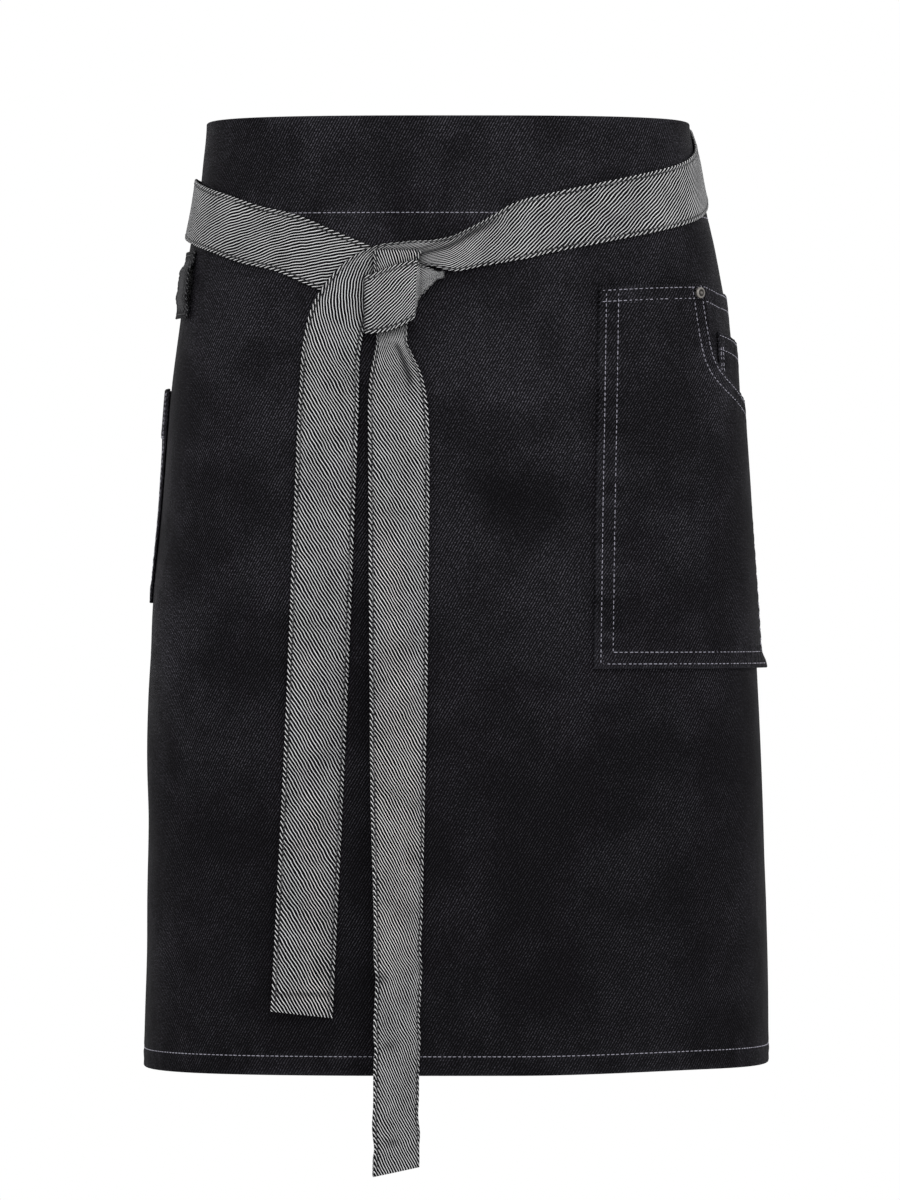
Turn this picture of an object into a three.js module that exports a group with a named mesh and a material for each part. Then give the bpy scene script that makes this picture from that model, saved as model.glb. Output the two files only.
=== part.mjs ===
// Waist apron in dark coated denim, worn: a panel wrapped round the hips, two long ties that cross behind,
// meet in a flat knot in front and hang down as tails, a scooped pocket on the right, a small pocket and a
// tool loop on the left.
// Millimetres, +Z up, the front faces -Y. The origin is the centre of the waist opening at tie height.
import * as THREE from "three";

// Main sizes
const panelDrop = 600;
const panelWidth = 750;
const topAboveOrigin = 60;
const hemHalfWidth = 200;
const hemHalfDepth = 135;
const boxiness = 3;
const clothThickness = 1.6;
const facingDepth = 59;
const hemDepth = 12;
const foldThickness = 0.8;
const pieceGap = 0.4;
const columnStep = 12.5;

// Ties
const tieWidth = 38;
const tieThickness = 1.6;
const tieLayer = 2.1;
const tieRootLap = 28;
const tailLeft = 364;
const tailRight = 461;

// Right-hand pocket
const pocketWidth = 172;
const pocketHeight = 239;
const pocketFromCentre = 92;
const pocketTop = -47;
const pocketGape = 9;
const layerThickness = 1.2;
const coinWidth = 62;
const coinHeight = 62;

// Left-hand pocket and loop
const sidePocketWidth = 100;
const sidePocketHeight = 137;
const sidePocketTop = -108;
const sidePocketGape = 8;
const loopWidth = 26;
const loopHeight = 43;
const loopTop = -21.5;
const loopRise = 6;
const rivetRadius = 3.6;

const halfPanel = panelWidth / 2;
const hemLevel = topAboveOrigin - panelDrop;

// The form that the cloth lies on, level by level. down is a share of the drop, left and right are shares of
// the hem's half width, front and back shares of its half depth.
const bodyLevels = [
  { down: 0.0, left: 0.785, right: 0.76, front: 0.83, back: 0.77 },
  { down: 0.04, left: 0.796, right: 0.783, front: 0.83, back: 0.775 },
  { down: 0.08, left: 0.81, right: 0.806, front: 0.835, back: 0.785 },
  { down: 0.13, left: 0.838, right: 0.84, front: 0.845, back: 0.82 },
  { down: 0.183, left: 0.866, right: 0.88, front: 0.865, back: 0.87 },
  { down: 0.278, left: 0.898, right: 0.91, front: 0.895, back: 0.94 },
  { down: 0.383, left: 0.922, right: 0.937, front: 0.92, back: 0.98 },
  { down: 0.505, left: 0.948, right: 0.961, front: 0.945, back: 0.99 },
  { down: 0.612, left: 0.967, right: 0.98, front: 0.96, back: 0.985 },
  { down: 0.718, left: 0.974, right: 0.994, front: 0.98, back: 0.975 },
  { down: 0.825, left: 0.98, right: 1.003, front: 1.0, back: 0.97 },
  { down: 1.0, left: 0.984, right: 1.01, front: 1.02, back: 0.975 },
];

// Soft folds in the panel. across is a share of half the panel, down a share of the drop, long and wide are
// shares of the drop, rise is in millimetres and lean is the fold's slope in degrees.
const softFolds = [
  { across: -0.55, down: 0.55, long: 0.12, wide: 0.042, rise: 2.6, lean: -48 },
  { across: -0.6, down: 0.7, long: 0.11, wide: 0.042, rise: 2.3, lean: -52 },
  { across: -0.58, down: 0.86, long: 0.12, wide: 0.045, rise: 2.0, lean: -56 },
  { across: 0.1, down: 0.31, long: 0.07, wide: 0.04, rise: 1.6, lean: -6 },
  { across: 0.1, down: 0.395, long: 0.07, wide: 0.036, rise: -2.0, lean: -12 },
  { across: 0.1, down: 0.47, long: 0.07, wide: 0.04, rise: 1.4, lean: -18 },
  { across: 0.84, down: 0.86, long: 0.16, wide: 0.06, rise: 2.4, lean: 86 },
  { across: -0.88, down: 0.86, long: 0.14, wide: 0.06, rise: 2.4, lean: 94 },
];

const degrees = Math.PI / 180;

function blend(a, b, share) {
  return a + (b - a) * share;
}

function smooth(share) {
  const t = Math.min(1, Math.max(0, share));
  return t * t * (3 - 2 * t);
}

// A smooth value between the rows of a table, at a share of the way from row i to the next.
function between(rows, i, share, key) {
  const p0 = rows[Math.max(0, i - 1)][key];
  const p1 = rows[i][key];
  const p2 = rows[i + 1][key];
  const p3 = rows[Math.min(rows.length - 1, i + 2)][key];
  const limit = 2.5 * Math.abs(p2 - p1);
  const rise1 = (p2 - p1) * (p1 - p0) > 0 ? 0.5 * (p2 - p0) : 0;
  const rise2 = (p3 - p2) * (p2 - p1) > 0 ? 0.5 * (p3 - p1) : 0;
  const start = Math.sign(rise1) * Math.min(Math.abs(rise1), limit);
  const end = Math.sign(rise2) * Math.min(Math.abs(rise2), limit);
  const t2 = share * share;
  const t3 = t2 * share;
  return (2 * t3 - 3 * t2 + 1) * p1 + (t3 - 2 * t2 + share) * start + (3 * t2 - 2 * t3) * p2 + (t3 - t2) * end;
}

// The form's half sizes at a height.
function formAt(height) {
  const down = Math.min(1, Math.max(0, (topAboveOrigin - height) / panelDrop));
  let i = 0;
  while (i < bodyLevels.length - 2 && bodyLevels[i + 1].down < down) i += 1;
  const share = (down - bodyLevels[i].down) / (bodyLevels[i + 1].down - bodyLevels[i].down);
  return {
    left: between(bodyLevels, i, share, "left") * hemHalfWidth,
    right: between(bodyLevels, i, share, "right") * hemHalfWidth,
    front: between(bodyLevels, i, share, "front") * hemHalfDepth,
    back: between(bodyLevels, i, share, "back") * hemHalfDepth,
  };
}

// One level ring of the form as points with their distance round it, measured from the middle of the front.
const ringCache = new Map();
const ringSteps = 720;

function ringAt(height) {
  const key = Math.round(height * 50);
  if (ringCache.has(key)) return ringCache.get(key);
  const form = formAt(key / 50);
  const points = [];
  let run = 0;
  for (let i = 0; i <= ringSteps; i += 1) {
    const turn = -Math.PI + (2 * Math.PI * i) / ringSteps;
    const s = Math.sin(turn);
    const c = Math.cos(turn);
    const wide = s < 0 ? form.left : form.right;
    const deep = c < 0 ? form.back : form.front;
    const x = wide * Math.sign(s) * Math.abs(s) ** (2 / boxiness);
    const y = -deep * Math.sign(c) * Math.abs(c) ** (2 / boxiness);
    if (i > 0) run += Math.hypot(x - points[i - 1].x, y - points[i - 1].y);
    points.push({ x, y, run });
  }
  const atFront = points[ringSteps / 2].run;
  for (const point of points) point.run -= atFront;
  const ring = { points, first: points[0].run, length: run };
  ringCache.set(key, ring);
  return ring;
}

function ringPoint(height, distance) {
  const ring = ringAt(height);
  let d = distance;
  while (d < ring.first) d += ring.length;
  while (d > ring.first + ring.length) d -= ring.length;
  let low = 0;
  let high = ringSteps;
  while (high - low > 1) {
    const mid = (low + high) >> 1;
    if (ring.points[mid].run <= d) low = mid;
    else high = mid;
  }
  const a = ring.points[low];
  const b = ring.points[high];
  const share = (d - a.run) / Math.max(1e-9, b.run - a.run);
  return { x: blend(a.x, b.x, share), y: blend(a.y, b.y, share) };
}

function foldRise(distance, height) {
  let rise = 0;
  const down = topAboveOrigin - height;
  for (const fold of softFolds) {
    const across = distance - fold.across * halfPanel;
    const fall = down - fold.down * panelDrop;
    const along = across * Math.cos(fold.lean * degrees) - fall * Math.sin(fold.lean * degrees);
    const aside = across * Math.sin(fold.lean * degrees) + fall * Math.cos(fold.lean * degrees);
    const u = along / (fold.long * panelDrop);
    const v = aside / (fold.wide * panelDrop);
    rise += fold.rise * Math.exp(-u * u - v * v);
  }
  return rise;
}

// A place on the cloth: distance round from the middle of the front, height, and lift off the outer face.
function clothPoint(distance, height, lift) {
  const reach = 3;
  const a = ringPoint(height, distance - reach);
  const b = ringPoint(height, distance + reach);
  const here = ringPoint(height, distance);
  const length = Math.hypot(b.x - a.x, b.y - a.y);
  const out = lift + foldRise(distance, height);
  return new THREE.Vector3(
    here.x + (out * (b.y - a.y)) / length,
    here.y - (out * (b.x - a.x)) / length,
    height,
  );
}

// A closed wall from a grid of cells: place(i, j, face) gives the point on the outer (1) or inner (0) face.
function wallFromGrid(columns, rows, place) {
  const positions = [];
  const index = [];
  const id = (i, j, face) => (face * (rows + 1) + j) * (columns + 1) + i;
  for (let face = 0; face < 2; face += 1) {
    for (let j = 0; j <= rows; j += 1) {
      for (let i = 0; i <= columns; i += 1) {
        positions.push(...place(i, j, face).toArray());
      }
    }
  }
  const quad = (a, b, c, d) => index.push(a, b, c, a, c, d);
  for (let j = 0; j < rows; j += 1) {
    for (let i = 0; i < columns; i += 1) {
      quad(id(i, j, 1), id(i + 1, j, 1), id(i + 1, j + 1, 1), id(i, j + 1, 1));
      quad(id(i, j, 0), id(i, j + 1, 0), id(i + 1, j + 1, 0), id(i + 1, j, 0));
    }
  }
  for (let i = 0; i < columns; i += 1) {
    quad(id(i, 0, 0), id(i + 1, 0, 0), id(i + 1, 0, 1), id(i, 0, 1));
    quad(id(i, rows, 1), id(i + 1, rows, 1), id(i + 1, rows, 0), id(i, rows, 0));
  }
  for (let j = 0; j < rows; j += 1) {
    quad(id(0, j, 1), id(0, j + 1, 1), id(0, j + 1, 0), id(0, j, 0));
    quad(id(columns, j, 0), id(columns, j + 1, 0), id(columns, j + 1, 1), id(columns, j, 1));
  }
  const geometry = new THREE.BufferGeometry();
  geometry.setAttribute("position", new THREE.Float32BufferAttribute(positions, 3));
  geometry.setIndex(volumeOf(positions, index) < 0 ? turned(index) : index);
  geometry.computeVertexNormals();
  return geometry;
}

function volumeOf(positions, index) {
  let sum = 0;
  for (let i = 0; i < index.length; i += 3) {
    const a = new THREE.Vector3().fromArray(positions, index[i] * 3);
    const b = new THREE.Vector3().fromArray(positions, index[i + 1] * 3);
    const c = new THREE.Vector3().fromArray(positions, index[i + 2] * 3);
    sum += a.dot(b.cross(c));
  }
  return sum;
}

function turned(index) {
  const result = [];
  for (let i = 0; i < index.length; i += 3) result.push(index[i], index[i + 2], index[i + 1]);
  return result;
}

function cloth(colour, roughness) {
  return new THREE.MeshStandardMaterial({ color: colour, roughness, metalness: 0 });
}

const apron = new THREE.Group();

function add(name, geometry, material) {
  const mesh = new THREE.Mesh(geometry, material);
  mesh.name = name;
  apron.add(mesh);
}

// Whole columns of the panel that lie between two distances, with both ends.
function columnsBetween(from, to) {
  const list = [from];
  const first = Math.ceil((from + 0.25 * columnStep) / columnStep);
  const last = Math.floor((to - 0.25 * columnStep) / columnStep);
  for (let k = first; k <= last; k += 1) list.push(k * columnStep);
  list.push(to);
  return list;
}

// Panel
const panelColumns = columnsBetween(-halfPanel, halfPanel);
const panelRows = [topAboveOrigin, topAboveOrigin - 0.5 * facingDepth, topAboveOrigin - facingDepth + 1];
panelRows.push(topAboveOrigin - facingDepth - 1);
const openRows = 19;
const openFrom = topAboveOrigin - facingDepth - 1;
const openTo = hemLevel + hemDepth + 1;
for (let k = 1; k <= openRows; k += 1) panelRows.push(blend(openFrom, openTo, k / openRows));
panelRows.push(hemLevel + hemDepth - 1);
panelRows.push(hemLevel);
panelRows.reverse();

// The panel's levels between two heights, with both ends.
function levelsBetween(floor, top) {
  const inside = panelRows.filter((height) => height > floor + 6 && height < top - 6);
  return [floor, ...inside, top];
}

function panelThickness(height, distance) {
  const inFacing = height > topAboveOrigin - facingDepth;
  const inHem = height < hemLevel + hemDepth;
  const inEdge = Math.abs(distance) > halfPanel - 0.5 * columnStep;
  return clothThickness + (inFacing || inHem || inEdge ? foldThickness : 0);
}

add(
  "apron_panel",
  wallFromGrid(panelColumns.length - 1, panelRows.length - 1, (i, j, face) => {
    const lift = face ? 0 : -panelThickness(panelRows[j], panelColumns[i]);
    return clothPoint(panelColumns[i], panelRows[j], lift);
  }),
  cloth(0x17171c, 0.62),
);

// Ties
const backGap = ringAt(0.5 * tieWidth).length - panelWidth;
const wallIn = clothThickness + foldThickness + pieceGap + 0.5 * tieThickness;
const knotAcross = -0.1 * halfPanel;
const knotHeight = -0.84 * topAboveOrigin;

// A tie's distance from the middle of the front runs on past a back edge and over the back gap. The gap is
// wider or narrower at other heights, so it is stretched to fit.
function roundTheBack(distance, height) {
  const side = Math.sign(distance) || 1;
  const far = Math.abs(distance);
  if (far <= halfPanel) return distance;
  const gap = ringAt(height).length - panelWidth;
  if (far <= halfPanel + backGap) return side * (halfPanel + (gap * (far - halfPanel)) / backGap);
  return side * (far + gap - backGap);
}

// A smooth run through the rows of a table, with equal steps between each two rows.
function smoothRun(rows, keys) {
  const stations = [];
  for (let i = 0; i < rows.length - 1; i += 1) {
    for (let k = 0; k < rows[i].steps; k += 1) {
      const station = {};
      for (const key of keys) station[key] = between(rows, i, k / rows[i].steps, key);
      stations.push(station);
    }
  }
  stations.push({ ...rows[rows.length - 1] });
  return stations;
}

// The rows of a turn back on itself: from one lift, lean and width to another, bulging towards heading.
function turnBack({ around, up, lift, lean, width, heading, bulge }) {
  const rows = [];
  const parts = 6;
  for (let k = 1; k < parts; k += 1) {
    const angle = (Math.PI * k) / parts;
    const share = 0.5 - 0.5 * Math.cos(angle);
    const out = bulge * Math.sin(angle);
    rows.push({
      around: around + out * Math.cos(heading * degrees),
      up: up + out * Math.sin(heading * degrees),
      lift: blend(lift[0], lift[1], share),
      lean: blend(lean[0], lean[1], share),
      twist: 0,
      width: blend(width[0], width[1], share),
      steps: 1,
      along: new THREE.Vector3(
        bulge * Math.cos(angle) * Math.cos(heading * degrees),
        bulge * Math.cos(angle) * Math.sin(heading * degrees),
        0.5 * (lift[1] - lift[0]) * Math.sin(angle),
      ),
    });
  }
  return rows;
}

// A flat tie along its stations: centre, lean of its width, twist of the width out of the cloth.
function tieGeometry(stations) {
  const across = 2;
  const centre = (s) => new THREE.Vector3(s.around, s.up, s.lift);
  const frames = stations.map((s, i) => {
    const before = centre(stations[Math.max(0, i - 1)]);
    const after = centre(stations[Math.min(stations.length - 1, i + 1)]);
    const wide = new THREE.Vector3(
      Math.cos(s.lean * degrees) * Math.cos(s.twist * degrees),
      Math.sin(s.lean * degrees) * Math.cos(s.twist * degrees),
      Math.sin(s.twist * degrees),
    );
    const along = s.along ? s.along.clone().normalize() : after.sub(before).normalize();
    const thick = new THREE.Vector3().crossVectors(along, wide).normalize();
    return { centre: centre(s), wide, thick, half: 0.5 * s.width };
  });
  return wallFromGrid(across, stations.length - 1, (i, j, face) => {
    const frame = frames[j];
    const place = frame.centre
      .clone()
      .addScaledVector(frame.wide, frame.half * ((2 * i) / across - 1))
      .addScaledVector(frame.thick, (face - 0.5) * tieThickness);
    return clothPoint(roundTheBack(place.x, place.y), place.y, place.z);
  });
}

const tieKeys = ["around", "up", "lift", "lean", "twist", "width"];

// Rows near the knot are given in tie widths from the knot's centre, and in layers of lift.
function nearKnot(rows) {
  return rows.map((row) => ({
    around: knotAcross + row.x * tieWidth,
    up: knotHeight + row.z * tieWidth,
    lift: pieceGap + 0.5 * tieThickness + row.layer * tieLayer,
    lean: row.lean,
    twist: row.twist || 0,
    width: row.wide * tieWidth,
    steps: row.steps || 4,
  }));
}

const lift = pieceGap + 0.5 * tieThickness + 0.55;
const rootHeight = topAboveOrigin - 0.5 * tieWidth - 3;

// Left tie: starts inside the right back corner and crosses the gap below its mate.
const edge = halfPanel;
const leftWrap = [
  { around: -(edge + backGap + tieRootLap), up: rootHeight, lift: -wallIn, lean: 90, steps: 3 },
  { around: -(edge + backGap + 6), up: rootHeight, lift: -wallIn, lean: 90, steps: 3 },
  { around: -(edge + 0.86 * backGap), up: 0.86 * rootHeight, lift: -wallIn, lean: 80, steps: 4 },
  { around: -(edge + 0.36 * backGap), up: 0.02 * rootHeight, lift: -wallIn, lean: 78, steps: 4 },
  { around: -(edge + 0.2 * backGap), up: -0.08 * rootHeight, lift: -0.4 * wallIn, lean: 88, steps: 3 },
  { around: -(edge + 2), up: -0.07 * rootHeight, lift, lean: 92, steps: 6 },
  { around: -0.86 * edge, up: 0.06 * rootHeight, lift, lean: 92, steps: 8 },
  { around: -0.66 * edge, up: 0.13 * rootHeight, lift, lean: 90, steps: 6 },
  { around: -0.53 * edge, up: 0.1 * rootHeight, lift, lean: 84, steps: 5 },
  { around: -0.42 * edge, up: -0.12 * rootHeight, lift, lean: 74, steps: 4 },
  { around: -0.345 * edge, up: -0.34 * rootHeight, lift, lean: 71, steps: 4 },
].map((row) => ({ ...row, twist: 0, width: tieWidth }));

const leftIntoKnot = nearKnot([
  { x: -1.77, z: 0.83, layer: 0.1, lean: 68, wide: 1, steps: 3 },
  { x: -1.14, z: 0.56, layer: 0, lean: 68, wide: 1, steps: 3 },
  { x: -0.5, z: 0.3, layer: 0, lean: 70, wide: 0.98, steps: 3 },
  { x: 0.05, z: 0.12, layer: 0, lean: 72, wide: 0.9, steps: 3 },
  { x: 0.42, z: 0.08, layer: 0, lean: 62, wide: 0.78, steps: 2 },
]);
const layerLift = (layer) => pieceGap + 0.5 * tieThickness + layer * tieLayer;
const rightFold = turnBack({
  around: knotAcross + 0.43 * tieWidth,
  up: knotHeight + 0.05 * tieWidth,
  lift: [layerLift(0), layerLift(4.15)],
  lean: [60, 90],
  width: [0.76 * tieWidth, 0.98 * tieWidth],
  heading: -20,
  bulge: 0.13 * tieWidth,
});
const bandRows = nearKnot([
  { x: 0.38, z: 0.02, layer: 4.2, lean: 91, wide: 0.99, steps: 3 },
  { x: 0.0, z: -0.1, layer: 4.45, lean: 91, wide: 1.06, steps: 3 },
  { x: -0.33, z: -0.2, layer: 4.15, lean: 90, wide: 0.98, steps: 1 },
]);
const leftFold = turnBack({
  around: knotAcross - 0.34 * tieWidth,
  up: knotHeight - 0.2 * tieWidth,
  lift: [layerLift(4.1), layerLift(2)],
  lean: [90, 90],
  width: [0.97 * tieWidth, 0.95 * tieWidth],
  heading: 180,
  bulge: 0.09 * tieWidth,
});
// Behind the band the tie swings upwards about its inner edge. Both edges are given in tie widths.
const returnEdges = [
  { inX: -0.3, inZ: 0.27, outX: -0.3, outZ: -0.67, layer: 2, steps: 2 },
  { inX: -0.27, inZ: 0.275, outX: -0.08, outZ: -0.56, layer: 2, steps: 2 },
  { inX: -0.25, inZ: 0.288, outX: 0.14, outZ: -0.33, layer: 2, steps: 2 },
  { inX: -0.238, inZ: 0.32, outX: 0.27, outZ: -0.05, layer: 2, steps: 2 },
  { inX: -0.232, inZ: 0.39, outX: 0.33, outZ: 0.25, layer: 2, steps: 2 },
  { inX: -0.23, inZ: 0.51, outX: 0.38, outZ: 0.45, layer: 2, steps: 2 },
  { inX: -0.229, inZ: 0.64, outX: 0.46, outZ: 0.64, layer: 2, steps: 1 },
];
const returnRun = nearKnot(
  smoothRun(returnEdges, ["inX", "inZ", "outX", "outZ", "layer"]).map((row) => ({
    x: 0.5 * (row.inX + row.outX),
    z: 0.5 * (row.inZ + row.outZ),
    layer: row.layer,
    lean: Math.atan2(row.inZ - row.outZ, row.inX - row.outX) / degrees,
    wide: Math.hypot(row.inX - row.outX, row.inZ - row.outZ),
  })),
);
const topFold = turnBack({
  around: knotAcross + 0.09 * tieWidth,
  up: knotHeight + 0.66 * tieWidth,
  lift: [layerLift(2), layerLift(3.1)],
  lean: [180, 180],
  width: [0.75 * tieWidth, 0.77 * tieWidth],
  heading: 90,
  bulge: 0.55 * tieLayer,
});
const rightTail = nearKnot([
  { x: 0.09, z: 0.64, layer: 3.1, lean: 180, wide: 0.78, steps: 2 },
  { x: 0.05, z: 0.4, layer: 3, lean: 180, wide: 0.68, steps: 2 },
  { x: 0.02, z: 0.0, layer: 3, lean: 180, wide: 0.62, steps: 3 },
  { x: 0.0, z: -0.5, layer: 3, lean: 180, wide: 0.52, steps: 2 },
  { x: 0.0, z: -0.8, layer: 2.8, lean: 180, wide: 0.5, steps: 2 },
  { x: 0.03, z: -1.05, layer: 2.4, lean: 180, wide: 0.64, steps: 2 },
  { x: 0.08, z: -1.5, layer: 1.8, lean: 180, wide: 0.9, steps: 3 },
  { x: 0.11, z: -2.3, layer: 1.4, lean: 180, wide: 1, steps: 6 },
]);
const tailRows = [
  { down: 0.45, aside: 0.11, lean: 180, twist: 8 },
  { down: 0.7, aside: 0.09, lean: 180, twist: 20 },
  { down: 0.88, aside: 0.07, lean: 179, twist: 25 },
  { down: 1.0, aside: 0.06, lean: 176, twist: 27 },
];
for (const row of tailRows) {
  rightTail.push({
    around: knotAcross + row.aside * tieWidth,
    up: knotHeight - 2.3 * tieWidth - row.down * tailRight,
    lift: 1.2 * tieLayer + 0.5 * tieWidth * Math.sin(row.twist * degrees),
    lean: row.lean,
    twist: row.twist,
    width: tieWidth,
    steps: 6,
  });
}

add(
  "tie_left",
  tieGeometry([
    ...smoothRun([...leftWrap, ...leftIntoKnot], tieKeys),
    ...rightFold,
    ...smoothRun(bandRows, tieKeys),
    ...leftFold,
    ...returnRun,
    ...topFold,
    ...smoothRun(rightTail, tieKeys),
  ]),
  cloth(0x707074, 0.85),
);

// Right tie: starts inside the left back corner and passes outside its mate in the gap.
const rightWrap = [
  { around: edge + backGap + tieRootLap, up: rootHeight, lift: -wallIn, lean: 90, steps: 3 },
  { around: edge + backGap + 4, up: rootHeight, lift: -wallIn, lean: 90, steps: 2 },
  { around: edge + 0.94 * backGap, up: rootHeight, lift: -0.8 * wallIn, lean: 90, steps: 3 },
  { around: edge + 0.7 * backGap, up: rootHeight, lift: 0.4 * wallIn, lean: 90, steps: 4 },
  { around: edge + 0.3 * backGap, up: rootHeight, lift: 0.5 * wallIn, lean: 90, steps: 4 },
  { around: edge + 2, up: 0.97 * rootHeight, lift, lean: 90, steps: 12 },
  { around: 0.72 * edge, up: 0.9 * rootHeight, lift, lean: 92, steps: 6 },
  { around: 0.6 * edge, up: 0.76 * rootHeight, lift, lean: 100, steps: 6 },
  { around: 0.42 * edge, up: 0.34 * rootHeight, lift, lean: 108, steps: 6 },
].map((row) => ({ ...row, twist: 0, width: tieWidth }));
const rightIntoKnot = nearKnot([
  { x: 2.34, z: 1.1, layer: 0.15, lean: 109, wide: 0.98, steps: 3 },
  { x: 1.86, z: 0.93, layer: 0.3, lean: 110, wide: 0.84, steps: 3 },
  { x: 1.4, z: 0.77, layer: 0.6, lean: 110, wide: 0.66, steps: 3 },
  { x: 0.93, z: 0.68, layer: 0.9, lean: 104, wide: 0.42, steps: 3 },
  { x: 0.56, z: 0.67, layer: 1, lean: 98, wide: 0.28, steps: 3 },
  { x: 0.2, z: 0.62, layer: 1, lean: 104, wide: 0.4, steps: 3 },
  { x: -0.14, z: 0.5, layer: 1, lean: 124, wide: 0.62, steps: 3 },
  { x: -0.5, z: 0.2, layer: 1, lean: 146, wide: 0.84, steps: 4 },
  { x: -0.84, z: -0.3, layer: 1, lean: 164, wide: 0.94, steps: 3 },
  { x: -0.99, z: -0.9, layer: 1, lean: 175, wide: 0.96, steps: 3 },
  { x: -1.03, z: -1.6, layer: 1, lean: 180, wide: 0.98, steps: 3 },
  { x: -1.06, z: -2.3, layer: 1, lean: 181, wide: 1, steps: 6 },
]);
const leftTailRows = [
  { down: 0.5, aside: -1.24, layer: 1.3, lean: 182, twist: 3 },
  { down: 0.98, aside: -1.44, layer: 2.6, lean: 183, twist: 6 },
  { down: 1.0, aside: -1.45, layer: 2.7, lean: 188, twist: 6 },
];
for (const row of leftTailRows) {
  rightIntoKnot.push({
    around: knotAcross + row.aside * tieWidth,
    up: knotHeight - 2.3 * tieWidth - row.down * tailLeft,
    lift: row.layer * tieLayer,
    lean: row.lean,
    twist: row.twist,
    width: tieWidth,
    steps: 6,
  });
}
add("tie_right", tieGeometry(smoothRun([...rightWrap, ...rightIntoKnot], tieKeys)), cloth(0x747478, 0.85));

// Right-hand pocket. The scoop drops steeply beside the rivet and then runs level to the far edge. across is
// a share of the scoop's width and drop a share of its depth.
const pocketTo = pocketFromCentre + pocketWidth;
const pocketFloor = pocketTop - pocketHeight;
const scoopFrom = pocketFromCentre + 0.385 * pocketWidth;
const scoopDepth = 0.3 * pocketHeight;
const scoopRows = [
  { across: 0, drop: 0 },
  { across: 0.025, drop: 0.16 },
  { across: 0.068, drop: 0.42 },
  { across: 0.12, drop: 0.62 },
  { across: 0.2, drop: 0.76 },
  { across: 0.32, drop: 0.85 },
  { across: 0.48, drop: 0.91 },
  { across: 0.65, drop: 0.95 },
  { across: 0.82, drop: 0.98 },
  { across: 1, drop: 1 },
];

function pocketTopAt(distance) {
  const across = (distance - pocketFromCentre) / pocketWidth;
  return pocketTop + 3.4 * Math.sin(Math.PI * Math.min(1, Math.max(0, across)));
}

function scoopTop(distance) {
  const share = (distance - scoopFrom) / (pocketTo - scoopFrom);
  if (share <= 0) return pocketTopAt(distance);
  let i = 0;
  while (i < scoopRows.length - 2 && scoopRows[i + 1].across < share) i += 1;
  const part = (share - scoopRows[i].across) / (scoopRows[i + 1].across - scoopRows[i].across);
  return pocketTopAt(distance) - scoopDepth * blend(scoopRows[i].drop, scoopRows[i + 1].drop, part);
}

const backLift = pieceGap + layerThickness;
const frontLift = backLift + 1.25 * pieceGap;

// A pocket's rows stand at the panel's own levels, squeezed in where its top dips.
function pocketWall({ columns, top, floor, topAt, base, thickness, gapeAt }) {
  const levels = levelsBetween(floor, top);
  return wallFromGrid(columns.length - 1, levels.length - 1, (i, j, face) => {
    const share = (levels[j] - floor) / (top - floor);
    const height = blend(floor, topAt ? topAt(columns[i]) : top, share);
    const out = base + (gapeAt ? gapeAt(columns[i], share) : 0);
    return clothPoint(columns[i], height, out + (face ? thickness : 0));
  });
}

const denim = 0x1a1a20;
add(
  "pocket_right_back",
  pocketWall({
    columns: columnsBetween(pocketFromCentre, pocketTo),
    top: pocketTop,
    floor: pocketFloor,
    topAt: (distance) => pocketTopAt(distance) + 1,
    base: pieceGap,
    thickness: layerThickness,
  }),
  cloth(denim, 0.62),
);

const frontColumns = columnsBetween(pocketFromCentre, scoopFrom);
for (const row of scoopRows.slice(1)) frontColumns.push(blend(scoopFrom, pocketTo, row.across));

function rightGape(distance, share) {
  const across = (distance - pocketFromCentre) / pocketWidth;
  const open = Math.sin(Math.PI * Math.min(1, Math.max(0, across)) ** 0.62) ** 0.7;
  return pocketGape * open * smooth((share - 0.15) / 0.85);
}

add(
  "pocket_right_front",
  pocketWall({
    columns: frontColumns,
    top: pocketTop,
    floor: pocketFloor,
    topAt: scoopTop,
    base: frontLift,
    thickness: clothThickness,
    gapeAt: rightGape,
  }),
  cloth(denim, 0.62),
);

const coinFrom = scoopFrom + 0.11 * pocketWidth;
const coinTop = pocketTop - 0.117 * pocketHeight;
add(
  "coin_pocket",
  pocketWall({
    columns: columnsBetween(coinFrom, coinFrom + coinWidth),
    top: coinTop,
    floor: coinTop - coinHeight,
    topAt: (distance) => coinTop - 0.1 * (distance - coinFrom),
    base: backLift + pieceGap,
    thickness: layerThickness,
    gapeAt: (distance, share) => {
      const across = (distance - coinFrom) / coinWidth;
      return 2.2 * Math.sin(Math.PI * across) * smooth(share);
    },
  }),
  cloth(denim, 0.62),
);

// Rivet through the front layer's corner
const rivetProfile = [
  [0, -0.6],
  [0.62, -0.6],
  [1, -0.2],
  [1, 0.1],
  [0.72, 0.36],
  [0.46, 0.22],
  [0.28, 0.4],
  [0, 0.52],
].map(([r, h]) => new THREE.Vector2(r * rivetRadius, h * rivetRadius));
const rivetGeometry = new THREE.LatheGeometry(rivetProfile, 14);
const rivetDistance = scoopFrom - 2.1 * rivetRadius;
const rivetHeight = pocketTopAt(rivetDistance) - 1.6 * rivetRadius;
const rivetSeat = frontLift + clothThickness + rightGape(rivetDistance, 0.98) + 0.6 * rivetRadius + pieceGap;
const rivetCentre = clothPoint(rivetDistance, rivetHeight, rivetSeat);
const rivetOut = clothPoint(rivetDistance, rivetHeight, rivetSeat + 10).sub(rivetCentre).normalize();
const rivetTurn = new THREE.Quaternion().setFromUnitVectors(new THREE.Vector3(0, 1, 0), rivetOut);
rivetGeometry.applyQuaternion(rivetTurn);
rivetGeometry.translate(rivetCentre.x, rivetCentre.y, rivetCentre.z);
add("rivet", rivetGeometry, new THREE.MeshStandardMaterial({ color: 0x5c564c, roughness: 0.4, metalness: 0.9 }));

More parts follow.
